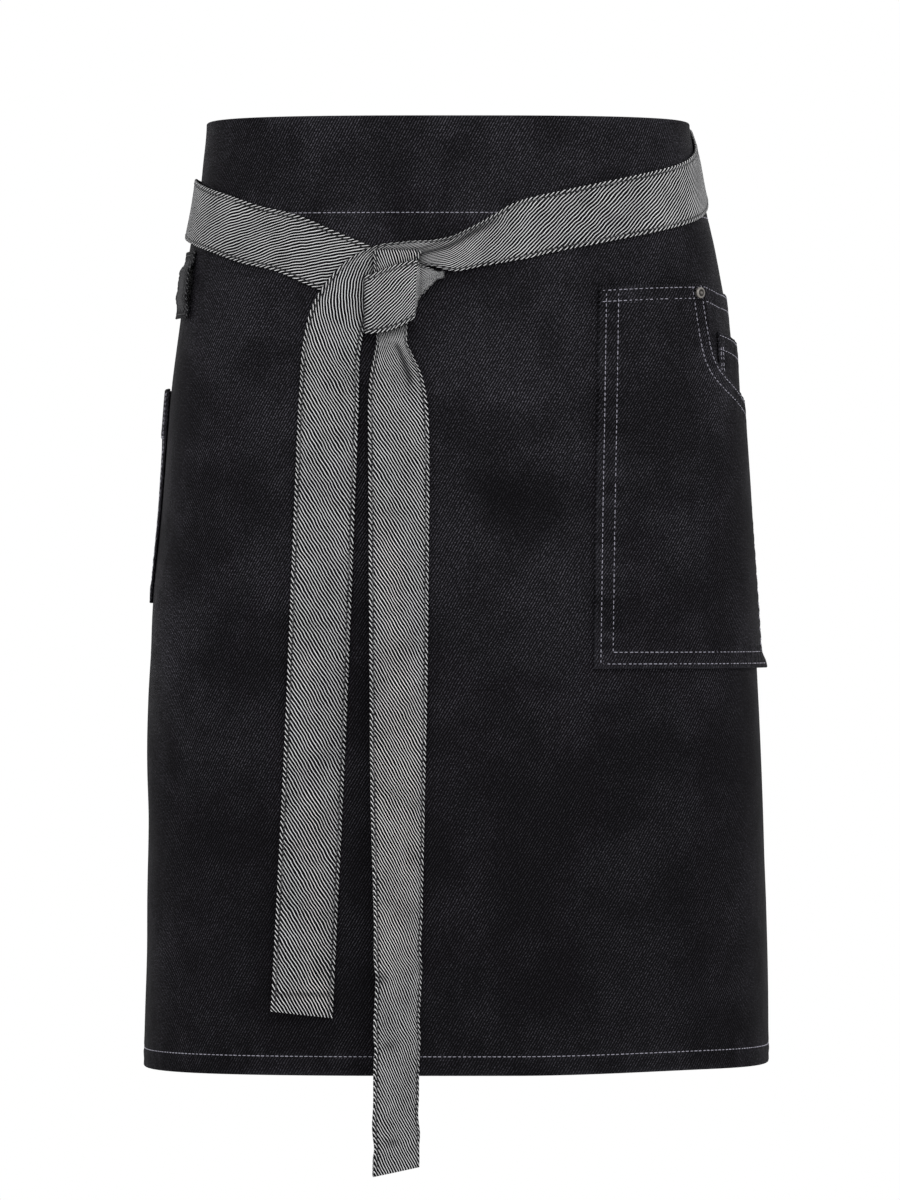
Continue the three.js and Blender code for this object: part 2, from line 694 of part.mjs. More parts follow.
// Left-hand pocket with a deep top hem
const sideFrom = -0.9 * halfPanel;
const sideTo = sideFrom + sidePocketWidth;
const sideFloor = sidePocketTop - sidePocketHeight;
const sideHem = 0.23;

add(
  "pocket_left",
  wallFromGrid(columnsBetween(sideFrom, sideTo).length - 1, 11, (i, j, face) => {
    const columns = columnsBetween(sideFrom, sideTo);
    const shares = [0, 0.1, 0.22, 0.34, 0.46, 0.58, 0.68, 1 - sideHem - 0.01, 1 - sideHem + 0.01, 0.85, 0.93, 1];
    const share = shares[j];
    const across = (columns[i] - sideFrom) / sidePocketWidth;
    const gape = sidePocketGape * Math.sin(Math.PI * across) ** 0.7 * smooth((share - 0.1) / 0.9);
    const thick = clothThickness + (share > 1 - sideHem ? foldThickness : 0);
    const height = blend(sideFloor, sidePocketTop, share);
    return clothPoint(columns[i], height, pieceGap + gape + (face ? thick : 0));
  }),
  cloth(denim, 0.62),
);

// Tool loop: a strip sewn down at its two ends, standing off between them
const loopFrom = -0.56 * halfPanel;
const loopShares = [0, 0.12, 0.2, 0.3, 0.42, 0.58, 0.7, 0.8, 0.88, 1];
add(
  "tool_loop",
  wallFromGrid(columnsBetween(loopFrom, loopFrom + loopWidth).length - 1, loopShares.length - 1, (i, j, face) => {
    const columns = columnsBetween(loopFrom, loopFrom + loopWidth);
    const share = loopShares[j];
    const rise = loopRise * smooth((share - 0.12) / 0.2) * smooth((0.88 - share) / 0.2);
    const height = loopTop - loopHeight * (1 - share);
    return clothPoint(columns[i], height, pieceGap + rise + (face ? tieThickness : 0));
  }),
  cloth(0x6a6a70, 0.85),
);

export default apron;
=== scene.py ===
"""Looks of the waist apron: dark coated denim with seams and topstitching, and black and white twill ties."""

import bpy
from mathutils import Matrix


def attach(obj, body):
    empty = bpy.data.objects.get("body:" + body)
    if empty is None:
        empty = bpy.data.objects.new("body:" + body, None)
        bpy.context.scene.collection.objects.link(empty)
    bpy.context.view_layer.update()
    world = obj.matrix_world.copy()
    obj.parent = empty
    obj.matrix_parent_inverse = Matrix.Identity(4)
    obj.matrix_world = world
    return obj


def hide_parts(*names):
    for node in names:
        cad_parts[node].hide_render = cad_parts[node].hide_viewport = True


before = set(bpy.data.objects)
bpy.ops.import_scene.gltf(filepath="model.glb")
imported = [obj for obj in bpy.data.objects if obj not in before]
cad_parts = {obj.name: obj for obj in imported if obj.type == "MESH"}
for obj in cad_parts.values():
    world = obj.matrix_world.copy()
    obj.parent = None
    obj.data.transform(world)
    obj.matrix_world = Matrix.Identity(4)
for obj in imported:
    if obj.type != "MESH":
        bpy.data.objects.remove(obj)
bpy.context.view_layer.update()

import math

import bmesh
import bpy
import numpy as np
from mathutils import Vector

# Camera: level, at the photograph's distance and framing, for an image of 900 by 1200
IMAGE_HEIGHT = 1200
FOCAL_PIXELS = 8115
SENSOR = 36.0
scene = bpy.context.scene
camera_data = bpy.data.cameras.new("camera")
camera_data.sensor_width = SENSOR
camera_data.lens = SENSOR * FOCAL_PIXELS / IMAGE_HEIGHT
camera = bpy.data.objects.new("camera", camera_data)
camera.location = (-0.00128, -5.2, -0.243)
camera.rotation_euler = (math.pi / 2, 0, 0)
scene.collection.objects.link(camera)
scene.camera = camera
scene.view_settings.view_transform = "Standard"

# Sizes in millimetres
TOP = 60.0
DROP = 600.0
PANEL = 750.0
HALF_PANEL = PANEL / 2
HEM = TOP - DROP
HEM_HALF_WIDTH = 200.0
HEM_HALF_DEPTH = 135.0
BOXINESS = 3.0
CLOTH = 1.6
FOLD = 0.8
FACING = 59.0
HEM_DEPTH = 12.0
GAP = 0.4
LAYER = 1.2
TIE_WIDTH = 38.0
TIE_THICK = 1.6
TIE_LAYER = 2.1
STITCH = 3.1
STITCH_DEPTH = 0.3
HEM_RISE = 2.6
TOP_RISE = 1.0
SIDE_FOLD = 10.0
TAPE_SEAM = 2.4
TAPE_HEM = 13.0

# The form that the cloth lies on: share of the drop, then left, right, front and back shares of the hem
LEVELS = np.array([
    (0.0, 0.785, 0.76, 0.83, 0.77),
    (0.04, 0.796, 0.783, 0.83, 0.775),
    (0.08, 0.81, 0.806, 0.835, 0.785),
    (0.13, 0.838, 0.84, 0.845, 0.82),
    (0.183, 0.86, 0.87, 0.865, 0.87),
    (0.278, 0.896, 0.9, 0.895, 0.94),
    (0.383, 0.921, 0.93, 0.92, 0.98),
    (0.505, 0.948, 0.961, 0.945, 0.99),
    (0.612, 0.967, 0.98, 0.96, 0.985),
    (0.718, 0.966, 0.993, 0.98, 0.975),
    (0.825, 0.969, 1.001, 1.0, 0.97),
    (1.0, 0.984, 1.01, 1.02, 0.975),
])

# Soft folds: across (share of half the panel), down (share of the drop), long and wide (shares of the drop),
# rise in millimetres and lean in degrees
FOLDS = [
    (-0.55, 0.55, 0.12, 0.042, 2.6, -48),
    (-0.6, 0.7, 0.11, 0.042, 2.3, -52),
    (-0.58, 0.86, 0.12, 0.045, 2.0, -56),
    (0.1, 0.31, 0.07, 0.04, 1.6, -6),
    (0.1, 0.395, 0.07, 0.036, -2.0, -12),
    (0.1, 0.47, 0.07, 0.04, 1.4, -18),
    (0.84, 0.86, 0.16, 0.06, 2.4, 86),
    (-0.88, 0.86, 0.14, 0.06, 2.4, 94),
]


def smooth(share):
    t = np.clip(share, 0, 1)
    return t * t * (3 - 2 * t)


def between(column, spot):
    """A smooth value between the entries of a column, at a spot counted in entries."""
    column = np.asarray(column, float)
    spot = np.asarray(spot, float)
    last = len(column) - 1
    i = np.clip(np.floor(spot).astype(int), 0, last - 1)
    share = spot - i
    p0, p1, p2, p3 = (column[np.clip(i + k, 0, last)] for k in (-1, 0, 1, 2))
    limit = 2.5 * np.abs(p2 - p1)
    rise1 = np.where((p2 - p1) * (p1 - p0) > 0, 0.5 * (p2 - p0), 0)
    rise2 = np.where((p3 - p2) * (p2 - p1) > 0, 0.5 * (p3 - p1), 0)
    start = np.clip(rise1, -limit, limit)
    end = np.clip(rise2, -limit, limit)
    t2 = share * share
    t3 = t2 * share
    towards = 3 * t2 - 2 * t3
    slopes = (t3 - 2 * t2 + share) * start + (t3 - t2) * end
    return (1 - towards) * p1 + towards * p2 + slopes


# The form as level rings, each a table of x and y by the distance round it from the middle of the front
RING_FLOOR = -624.0
RING_STEP = 2.0
RING_REACH = 1300
RING_TURNS = 2880


def ring_tables():
    heights = np.arange(RING_FLOOR, TOP + 21, RING_STEP)
    down = np.clip((TOP - heights) / DROP, 0, 1)
    i = np.clip(np.searchsorted(LEVELS[:, 0], down) - 1, 0, len(LEVELS) - 2)
    spot = i + (down - LEVELS[i, 0]) / (LEVELS[i + 1, 0] - LEVELS[i, 0])
    left, right, front, back = (between(LEVELS[:, k], spot)[:, None] for k in (1, 2, 3, 4))
    turn = np.linspace(-np.pi, np.pi, RING_TURNS + 1)[None]
    s, c = np.sin(turn), np.cos(turn)
    power = 2 / BOXINESS
    x = np.where(s < 0, left, right) * HEM_HALF_WIDTH * np.sign(s) * np.abs(s) ** power
    y = -np.where(c < 0, back, front) * HEM_HALF_DEPTH * np.sign(c) * np.abs(c) ** power
    steps = np.hypot(np.diff(x, axis=1), np.diff(y, axis=1))
    run = np.concatenate([np.zeros((len(heights), 1)), np.cumsum(steps, axis=1)], axis=1)
    run -= run[:, RING_TURNS // 2, None]
    grid = np.arange(-RING_REACH, RING_REACH + 1.0)
    table = np.zeros((len(heights), len(grid), 2))
    for k in range(len(heights)):
        length = run[k, -1] - run[k, 0]
        wrapped = run[k, 0] + np.mod(grid - run[k, 0], length)
        table[k, :, 0] = np.interp(wrapped, run[k], x[k])
        table[k, :, 1] = np.interp(wrapped, run[k], y[k])
    return table, run[:, -1] - run[:, 0]


RINGS, RING_LENGTHS = ring_tables()


def ring_spot(height):
    return np.clip((height - RING_FLOOR) / RING_STEP, 0, len(RINGS) - 1.001)


def ring_length(height):
    return np.interp(ring_spot(height), np.arange(len(RINGS)), RING_LENGTHS)


def ring_point(distance, height):
    k = ring_spot(height)
    u = np.clip(distance + RING_REACH, 0, 2 * RING_REACH - 0.001)
    ki, ui = k.astype(int), u.astype(int)
    kf, uf = (k - ki)[..., None], (u - ui)[..., None]
    low = RINGS[ki, ui] * (1 - uf) + RINGS[ki, ui + 1] * uf
    high = RINGS[ki + 1, ui] * (1 - uf) + RINGS[ki + 1, ui + 1] * uf
    return low * (1 - kf) + high * kf


def fold_rise(distance, height):
    rise = np.zeros_like(distance)
    for across, down, long, wide, height_of, lean in FOLDS:
        aside = distance - across * HALF_PANEL
        fall = (TOP - height) - down * DROP
        c, s = math.cos(math.radians(lean)), math.sin(math.radians(lean))
        u = (aside * c - fall * s) / (long * DROP)
        v = (aside * s + fall * c) / (wide * DROP)
        rise += height_of * np.exp(-u * u - v * v)
    return rise


def cloth_point(distance, height, lift):
    """Places in millimetres, from the distance round from the front's middle, the height and the lift."""
    distance, height, lift = np.broadcast_arrays(*(np.asarray(v, float) for v in (distance, height, lift)))
    reach = 3.0
    step = ring_point(distance + reach, height) - ring_point(distance - reach, height)
    step /= np.linalg.norm(step, axis=-1, keepdims=True)
    out = lift + fold_rise(distance, height)
    here = ring_point(distance, height)
    x = here[..., 0] + out * step[..., 1]
    y = here[..., 1] - out * step[..., 0]
    near_hem = smooth((HEM + 80 - height) / 80)
    near_top = smooth((height - TOP + 20) / 20)
    rise = HEM_RISE * smooth((distance - 40) / 130) * near_hem + TOP_RISE * near_top
    return np.stack([x, y, height + rise], axis=-1)


def folded(distance):
    """0 outside a folded hem's edge and 1 inside it, from the distance past that edge."""
    return smooth((distance + 0.7) / 1.4)


def unit(vectors):
    return vectors / np.maximum(np.linalg.norm(vectors, axis=-1, keepdims=True), 1e-9)


# Meshes
def spaced(start, end, step, fine=()):
    """Places from start to end, closer together at both ends and about each fine line."""
    places = list(np.linspace(start, end, max(2, round((end - start) / step)) + 1))
    for offset in (0.12, 0.4, 0.9, 1.8):
        places += [start + offset, end - offset]
    for line in fine:
        places += [line + offset for offset in (-2.6, -1.3, -0.5, 0.5, 1.3, 2.6)]
    places = sorted(p for p in places if start <= p <= end)
    kept = [places[0]]
    for place in places[1:]:
        if place - kept[-1] > 0.1:
            kept.append(place)
    kept[-1] = end
    return np.array(kept)


def border_distance(s, z):
    """Each grid place's distance from the grid's nearest border, in millimetres."""
    def run(axis):
        step = np.hypot(np.diff(s, axis=axis), np.diff(z, axis=axis))
        pad = [(0, 0), (0, 0)]
        pad[axis] = (1, 0)
        total = np.cumsum(np.pad(step, pad), axis=axis)
        whole = np.take(total, [-1], axis=axis)
        return np.minimum(total, whole - total)

    return np.minimum(run(0), run(1))


def new_object(name, points, faces, uv, material, marks=None):
    """A mesh object from points in millimetres, quads, texture places in metres and marks per point."""
    mesh = bpy.data.meshes.new(name)
    mesh.from_pydata((np.asarray(points) * 0.001).tolist(), [], faces.tolist())
    layer = mesh.uv_layers.new(name="UVMap")
    loops = np.zeros(len(mesh.loops), np.int32)
    mesh.loops.foreach_get("vertex_index", loops)
    layer.data.foreach_set("uv", np.asarray(uv, np.float32)[loops].ravel())
    for key, values in (marks or {}).items():
        attribute = mesh.attributes.new(key, "FLOAT", "POINT")
        attribute.data.foreach_set("value", np.asarray(values, np.float32).ravel())
    mesh.polygons.foreach_set("use_smooth", [True] * len(mesh.polygons))
    mesh.materials.append(material)
    mesh.update()
    made = bpy.data.objects.new(name, mesh)
    scene.collection.objects.link(made)
    return made


def grid_faces(rows, columns):
    """Quads of a closed wall: outer grid, inner grid and the four borders between them."""
    def place(j, i, face):
        return (face * rows + j) * columns + i

    j, i = np.meshgrid(np.arange(rows - 1), np.arange(columns - 1), indexing="ij")
    j, i = j.ravel(), i.ravel()
    outer = np.stack([place(j, i, 0), place(j, i + 1, 0), place(j + 1, i + 1, 0), place(j + 1, i, 0)], 1)
    inner = np.stack([place(j, i, 1), place(j + 1, i, 1), place(j + 1, i + 1, 1), place(j, i + 1, 1)], 1)
    i = np.arange(columns - 1)
    j = np.arange(rows - 1)
    end = rows - 1
    side = columns - 1
    low = np.stack([place(0, i, 0), place(0, i, 1), place(0, i + 1, 1), place(0, i + 1, 0)], 1)
    high = np.stack([place(end, i, 0), place(end, i + 1, 0), place(end, i + 1, 1), place(end, i, 1)], 1)
    near = np.stack([place(j, 0, 0), place(j + 1, 0, 0), place(j + 1, 0, 1), place(j, 0, 1)], 1)
    far = np.stack([place(j, side, 0), place(j, side, 1), place(j + 1, side, 1), place(j + 1, side, 0)], 1)
    return np.concatenate([outer, inner, low, high, near, far])


def outwards(points, faces):
    """The same quads, turned round if they enclose a negative volume."""
    a, b, c, d = (points[faces[:, k]] for k in range(4))
    volume = np.einsum("ij,ij->i", a, np.cross(b, c)).sum() + np.einsum("ij,ij->i", a, np.cross(c, d)).sum()
    return faces if volume > 0 else faces[:, ::-1]


def resampled(line, pitch):
    """A line of (distance, height) points at an even pitch, and its run at each."""
    line = np.asarray(line, float)
    run = np.concatenate([[0], np.cumsum(np.hypot(*np.diff(line, axis=0).T))])
    count = max(2, round(run[-1] / pitch))
    at = (np.arange(count) + 0.5) * run[-1] / count
    return np.stack([np.interp(at, run, line[:, 0]), np.interp(at, run, line[:, 1])], 1), at


def seam_relief(s, z, seams):
    """How stitching draws the cloth in: a grooved and puckered relief, a 0 to 1 mask and a broad ripple."""
    relief = np.zeros_like(s)
    mask = np.zeros_like(s)
    ripple = np.zeros_like(s)
    for seam in seams:
        line, run = resampled(seam, 1.5)
        low, high = line.min(0) - 14, line.max(0) + 14
        near = (s > low[0]) & (s < high[0]) & (z > low[1]) & (z < high[1])
        if not near.any():
            continue
        gaps = np.hypot(s[near][:, None] - line[:, 0], z[near][:, None] - line[:, 1])
        nearest = gaps.argmin(1)
        gap = gaps[np.arange(len(gaps)), nearest]
        at = run[nearest]
        wave = np.sin(at * 0.72 + 1.9 * np.sin(at / 23.0)) * np.exp(-((gap / 5.0) ** 2))
        relief[near] += 0.28 * wave - STITCH_DEPTH * np.exp(-((gap / 1.3) ** 2))
        mask[near] = np.maximum(mask[near], np.exp(-((gap / 3.2) ** 2)))
        ripple[near] += np.sin(at * 0.41 + 2.3 * np.sin(at / 31.0)) * np.exp(-((gap / 8.0) ** 2))
    return relief, mask, ripple


def cloth_wall(name, s, z, outer, inner, material, seams=()):
    """A closed piece of cloth from grids of distance, height and the lifts of its two faces."""
    s, z, outer, inner = np.broadcast_arrays(s, z, outer, inner)
    s, z = np.array(s, float), np.array(z, float)
    border = border_distance(s, z)
    middle, half = (outer + inner) / 2, (outer - inner) / 2
    turn = 1 - np.clip(border / half.mean(), 0, 1)
    half = half * np.maximum(0.1, np.sqrt(1 - turn * turn))
    relief, mask, ripple = seam_relief(s, z, seams)
    front = cloth_point(s, z, middle + half + relief)
    back = cloth_point(s, z, middle - half + 0.35 * relief)
    points = np.concatenate([front.reshape(-1, 3), back.reshape(-1, 3)])
    faces = outwards(points, grid_faces(*s.shape))
    flat = np.stack([s.ravel(), z.ravel()], 1) * 0.001
    uv = np.concatenate([flat, flat * (-1, 1)])
    wear = np.exp(-border / 1.6).ravel()
    # Painted light and shade from the folds: lighter on their crests, darker in their hollows, rippled beside
    # seams.
    fold_shading = np.clip(0.5 + fold_rise(s, z) / 5 + 0.16 * ripple, 0, 1).ravel()
    # The seam mark lies along the stitching; denim draws it as painted highlight, webbing as painted shade.
    marks = {
        "wear": np.concatenate([wear, wear]),
        "seam": np.concatenate([mask.ravel(), 0 * mask.ravel()]),
        "fold_shading": np.concatenate([fold_shading, fold_shading]),
    }
    return new_object(name, points, faces, uv, material, marks)


# Shader nodes
def socket(group, name, kind, default=None, output=False):
    made = group.interface.new_socket(name=name, in_out="OUTPUT" if output else "INPUT", socket_type=kind)
    if default is not None:
        made.default_value = default
    return made


class Nodes:
    """Short ways to make and link the nodes of one tree."""

    def __init__(self, tree):
        self.tree = tree

    def add(self, kind, inputs=None, **settings):
        node = self.tree.nodes.new(kind)
        for key, value in settings.items():
            setattr(node, key, value)
        for key, value in (inputs or {}).items():
            self.put(node.inputs[key], value)
        return node

    def put(self, target, value):
        if isinstance(value, bpy.types.NodeSocket):
            self.tree.links.new(value, target)
        else:
            target.default_value = value

    def math(self, operation, a, b=None, c=None, clamp=False):
        inputs = {0: a}
        if b is not None:
            inputs[1] = b
        if c is not None:
            inputs[2] = c
        return self.add("ShaderNodeMath", inputs, operation=operation, use_clamp=clamp).outputs[0]

    def times(self, a, b, clamp=False):
        return self.math("MULTIPLY", a, b, clamp=clamp)

    def times_plus(self, a, b, c):
        return self.math("MULTIPLY_ADD", a, b, c)

    def span(self, value, low, high, to_low=0.0, to_high=1.0, kind="SMOOTHSTEP"):
        inputs = {"Value": value, "From Min": low, "From Max": high, "To Min": to_low, "To Max": to_high}
        return self.add("ShaderNodeMapRange", inputs, interpolation_type=kind).outputs[0]

    def noise(self, vector, scale, detail=2.0, roughness=0.5):
        inputs = {"Vector": vector, "Scale": scale, "Detail": detail, "Roughness": roughness}
        return self.add("ShaderNodeTexNoise", inputs).outputs[0]

    def mix(self, share, a, b):
        node = self.add("ShaderNodeMix", data_type="RGBA")
        self.put(node.inputs[0], share)
        self.put(node.inputs[6], a)
        self.put(node.inputs[7], b)
        return node.outputs[2]

    def twill(self, place, slope, pitch, wander):
        """The twill group's line and step, for a slope in degrees and a pitch in metres."""
        inputs = {"Place": place, "Slope": math.radians(slope), "Pitch": pitch, "Wander": wander}
        node = self.tree.nodes.new("ShaderNodeGroup")
        node.node_tree = TWILL
        for key, value in inputs.items():
            self.put(node.inputs[key], value)
        return node.outputs["Line"], node.outputs["Step"]

    def mark(self, name):
        return self.add("ShaderNodeAttribute", attribute_name=name).outputs["Fac"]

    def flat_place(self):
        """The place on the flat cloth, in metres."""
        return self.add("ShaderNodeUVMap", uv_map="UVMap").outputs[0]

    def solid_place(self):
        return self.add("ShaderNodeTexCoord").outputs["Object"]

    def bump(self, height, strength, distance, **normal):
        inputs = {"Strength": strength, "Distance": distance, "Height": height, **normal}
        return self.add("ShaderNodeBump", inputs).outputs[0]


def twill_group():
    """Diagonal weave lines. Line is the raised yarn from 0 to 1, Step the short floats along it."""
    group = bpy.data.node_groups.new("twill_lines", "ShaderNodeTree")
    socket(group, "Place", "NodeSocketVector")
    socket(group, "Slope", "NodeSocketFloat", 1.0)
    socket(group, "Pitch", "NodeSocketFloat", 0.002)
    socket(group, "Wander", "NodeSocketFloat", 0.0004)
    socket(group, "Line", "NodeSocketFloat", output=True)
    socket(group, "Step", "NodeSocketFloat", output=True)
    n = Nodes(group)
    source = n.add("NodeGroupInput").outputs
    parts = n.add("ShaderNodeSeparateXYZ", {0: source["Place"]}).outputs
    drift = n.math("SUBTRACT", n.noise(source["Place"], 70.0, 2.0), 0.5)
    cosine = n.math("COSINE", source["Slope"])
    sine = n.math("SINE", source["Slope"])
    cross = n.math("SUBTRACT", n.times(parts[1], cosine), n.times(parts[0], sine))
    cross = n.times_plus(drift, source["Wander"], cross)
    turns = n.times(n.math("DIVIDE", cross, source["Pitch"]), 2 * math.pi)
    line = n.times_plus(n.math("SINE", turns), 0.5, 0.5)
    along = n.math("ADD", n.times(parts[0], cosine), n.times(parts[1], sine))
    rounds = n.times(n.math("DIVIDE", along, source["Pitch"]), 2 * math.pi * 1.7)
    step = n.times_plus(n.math("SINE", n.math("ADD", rounds, turns)), 0.5, 0.5)
    target = n.add("NodeGroupOutput")
    n.put(target.inputs["Line"], line)
    n.put(target.inputs["Step"], step)
    return group


TWILL = twill_group()


def new_material(name):
    made = bpy.data.materials.new(name)
    made.use_nodes = True
    made.node_tree.nodes.clear()
    n = Nodes(made.node_tree)
    shader = n.add("ShaderNodeBsdfPrincipled")
    output = n.add("ShaderNodeOutputMaterial")
    n.put(output.inputs["Surface"], shader.outputs[0])
    return made, n, shader.inputs


def colour(red, green, blue):
    return (red, green, blue, 1.0)


def denim_material():
    made, n, shader = new_material("coated_denim")
    place = n.flat_place()
    solid = n.solid_place()
    line, step = n.twill(place, slope=60, pitch=0.00158, wander=0.0016)
    yarn = n.times(n.math("POWER", line, 2.0), n.times_plus(step, 0.7, 0.3))
    cloudy = n.noise(solid, 19.0, 4.0, 0.62)
    patch = n.span(cloudy, 0.36, 0.66)
    height = n.add("ShaderNodeSeparateXYZ", {0: solid}).outputs[2]
    # Painted sheen, lighter towards the top of the apron.
    sheen_towards_top = n.span(height, -0.5, 0.02, 0.5, 1.0)
    speck = n.span(n.noise(place, 880.0, 2.0, 0.7), 0.42, 0.72)
    wear = n.mark("wear")
    seam = n.mark("seam")
    fold_shading = n.mark("fold_shading")
    # Painted sheen on the light yarn: lighter towards the waist and on fold crests, darker in fold hollows,
    # in random patches and specks.
    shine = n.times(n.times_plus(patch, 0.5, 0.42), sheen_towards_top)
    shine = n.times(shine, n.span(fold_shading, 0.0, 1.0, 0.35, 1.65, "LINEAR"))
    light = n.times(yarn, n.times(shine, n.times_plus(speck, 1.7, 0.3)))
    base = n.mix(light, colour(0.0026, 0.0024, 0.0029), colour(0.1, 0.096, 0.115))
    # Lighter where the cloth is worn at its edges, and painted highlight on the puckers beside the stitching.
    wear_and_seam_highlight = n.math("MAXIMUM", wear, n.times(seam, 0.3))
    wear_and_highlight_share = n.times(wear_and_seam_highlight, n.span(cloudy, 0.42, 0.6))
    base = n.mix(n.times(wear_and_highlight_share, 0.3), base, colour(0.034, 0.034, 0.04))
    n.put(shader["Base Color"], base)
    n.put(shader["Roughness"], n.times_plus(shine, -0.12, 0.7))
    shader["Specular IOR Level"].default_value = 0.04
    shader["IOR"].default_value = 1.3
    fine = n.bump(yarn, 0.7, 0.0003)
    broad = n.noise(solid, 62.0, 3.0, 0.55)
    n.put(shader["Normal"], n.bump(broad, 0.5, 0.0016, Normal=fine))
    return made


def tie_material(name, cover, light):
    """Twill webbing in black and light yarn. The higher the cover, the less of the light yarn shows."""
    made, n, shader = new_material(name)
    place = n.flat_place()
    line, step = n.twill(place, slope=122, pitch=0.0018, wander=0.0026)
    shade = n.noise(place, 45.0, 3.0, 0.6)
    threshold = n.times_plus(step, 0.12, n.times_plus(shade, 0.16, cover))
    white = n.span(line, n.math("SUBTRACT", threshold, 0.06), n.math("ADD", threshold, 0.12))
    fuzz = n.noise(place, 1500.0, 2.0, 0.7)
    white = n.times(white, n.times_plus(fuzz, 0.7, 0.55), clamp=True)
    base = n.mix(white, colour(0.002, 0.002, 0.0025), light)
    # Painted shade: darker in stitch grooves, creases and steep turns by the seam mark, and in crevices by
    # ambient occlusion.
    seam = n.mark("seam")
    base = n.mix(n.times(seam, 0.85), base, colour(0.004, 0.004, 0.005))
    open_sky = n.add("ShaderNodeAmbientOcclusion", {"Distance": 0.015}, samples=8).outputs["AO"]
    base = n.mix(n.span(open_sky, 0.2, 0.95), colour(0.008, 0.008, 0.009), base)
    n.put(shader["Base Color"], base)
    shader["Roughness"].default_value = 0.88
    shader["Specular IOR Level"].default_value = 0.06
    shader["Sheen Weight"].default_value = 0.02
    relief = n.times_plus(fuzz, 0.25, n.times_plus(step, 0.25, line))
    fine = n.bump(relief, 0.6, 0.0003)
    broad = n.noise(place, 90.0, 2.0, 0.5)
    n.put(shader["Normal"], n.bump(broad, 0.35, 0.0008, Normal=fine))
    return made


def thread_material(name, dark, light, roughness):
    made, n, shader = new_material(name)
    solid = n.solid_place()
    ply = n.noise(solid, 2600.0, 2.0, 0.6)
    n.put(shader["Base Color"], n.mix(n.span(ply, 0.3, 0.7), dark, light))
    shader["Roughness"].default_value = roughness
    shader["Specular IOR Level"].default_value = 0.35
    shader["Sheen Weight"].default_value = 0.15
    n.put(shader["Normal"], n.bump(ply, 0.5, 0.0001))
    return made


def rivet_material():
    made, n, shader = new_material("aged_nickel")
    solid = n.solid_place()
    grime = n.noise(solid, 520.0, 4.0, 0.6)
    scratch = n.noise(solid, 1900.0, 3.0, 0.7)
    edge = n.add("ShaderNodeNewGeometry").outputs["Pointiness"]
    bright = n.math("ADD", n.span(edge, 0.5, 0.58), n.span(grime, 0.55, 0.75, 0.0, 0.5), clamp=True)
    n.put(shader["Base Color"], n.mix(bright, colour(0.045, 0.042, 0.04), colour(0.34, 0.32, 0.3)))
    n.put(shader["Roughness"], n.span(grime, 0.3, 0.7, 0.3, 0.55))
    shader["Metallic"].default_value = 1.0
    n.put(shader["Normal"], n.bump(scratch, 0.35, 0.0002))
    return made


DENIM = denim_material()
TAPE = tie_material("twill_tape", 0.715, colour(0.86, 0.86, 0.87))
DARK_TAPE = tie_material("dark_webbing", 0.74, colour(0.26, 0.26, 0.27))
LIGHT_THREAD = thread_material("light_thread", colour(0.16, 0.155, 0.19), colour(0.34, 0.33, 0.39), 0.6)
DARK_THREAD = thread_material("dark_thread", colour(0.006, 0.006, 0.007), colour(0.03, 0.03, 0.034), 0.6)
NICKEL = rivet_material()


# Stitches: one small bent thread on each point, turned along the seam
def stitch_group():
    group = bpy.data.node_groups.new("stitches", "GeometryNodeTree")
    socket(group, "Geometry", "NodeSocketGeometry")
    socket(group, "Length", "NodeSocketFloat", 0.0034)
    socket(group, "Radius", "NodeSocketFloat", 0.0003)
    socket(group, "Arch", "NodeSocketFloat", 0.0005)
    socket(group, "Seed", "NodeSocketInt", 1)
    socket(group, "Material", "NodeSocketMaterial")
    socket(group, "Geometry", "NodeSocketGeometry", output=True)
    n = Nodes(group)
    source = n.add("NodeGroupInput").outputs
    half = n.times(source["Length"], 0.5)
    sunk = n.times(source["Arch"], -0.8)
    start = n.add("ShaderNodeCombineXYZ", {0: n.times(half, -1.0), 2: sunk}).outputs[0]
    middle = n.add("ShaderNodeCombineXYZ", {2: source["Arch"]}).outputs[0]
    end = n.add("ShaderNodeCombineXYZ", {0: half, 2: sunk}).outputs[0]
    arc_inputs = {"Resolution": 5, "Start": start, "Middle": middle, "End": end}
    arc = n.add("GeometryNodeCurveQuadraticBezier", arc_inputs)
    ring = n.add("GeometryNodeCurvePrimitiveCircle", {"Resolution": 6, "Radius": source["Radius"]})
    tube_inputs = {"Curve": arc.outputs[0], "Profile Curve": ring.outputs[0], "Fill Caps": True}
    tube = n.add("GeometryNodeCurveToMesh", tube_inputs)
    along = n.add("GeometryNodeInputNamedAttribute", {"Name": "along"}, data_type="FLOAT_VECTOR").outputs[0]
    out = n.add("GeometryNodeInputNamedAttribute", {"Name": "out"}, data_type="FLOAT_VECTOR").outputs[0]
    turn = n.add("FunctionNodeAxesToRotation", {0: along, 1: out}, primary_axis="X", secondary_axis="Z")
    size = n.add("FunctionNodeRandomValue", data_type="FLOAT_VECTOR")
    size.inputs[0].default_value = (0.86, 0.85, 0.85)
    size.inputs[1].default_value = (1.08, 1.15, 1.1)
    n.put(size.inputs["Seed"], source["Seed"])
    laid = n.add("GeometryNodeInstanceOnPoints")
    n.put(laid.inputs["Points"], source["Geometry"])
    n.put(laid.inputs["Instance"], tube.outputs[0])
    n.put(laid.inputs["Rotation"], turn.outputs[0])
    n.put(laid.inputs["Scale"], size.outputs[0])
    real = n.add("GeometryNodeRealizeInstances", {0: laid.outputs[0]})
    soft = n.add("GeometryNodeSetShadeSmooth", {0: real.outputs[0]})
    dyed = n.add("GeometryNodeSetMaterial", {"Geometry": soft.outputs[0], "Material": source["Material"]})
    n.put(n.add("NodeGroupOutput").inputs[0], dyed.outputs[0])
    return group


STITCHES = stitch_group()


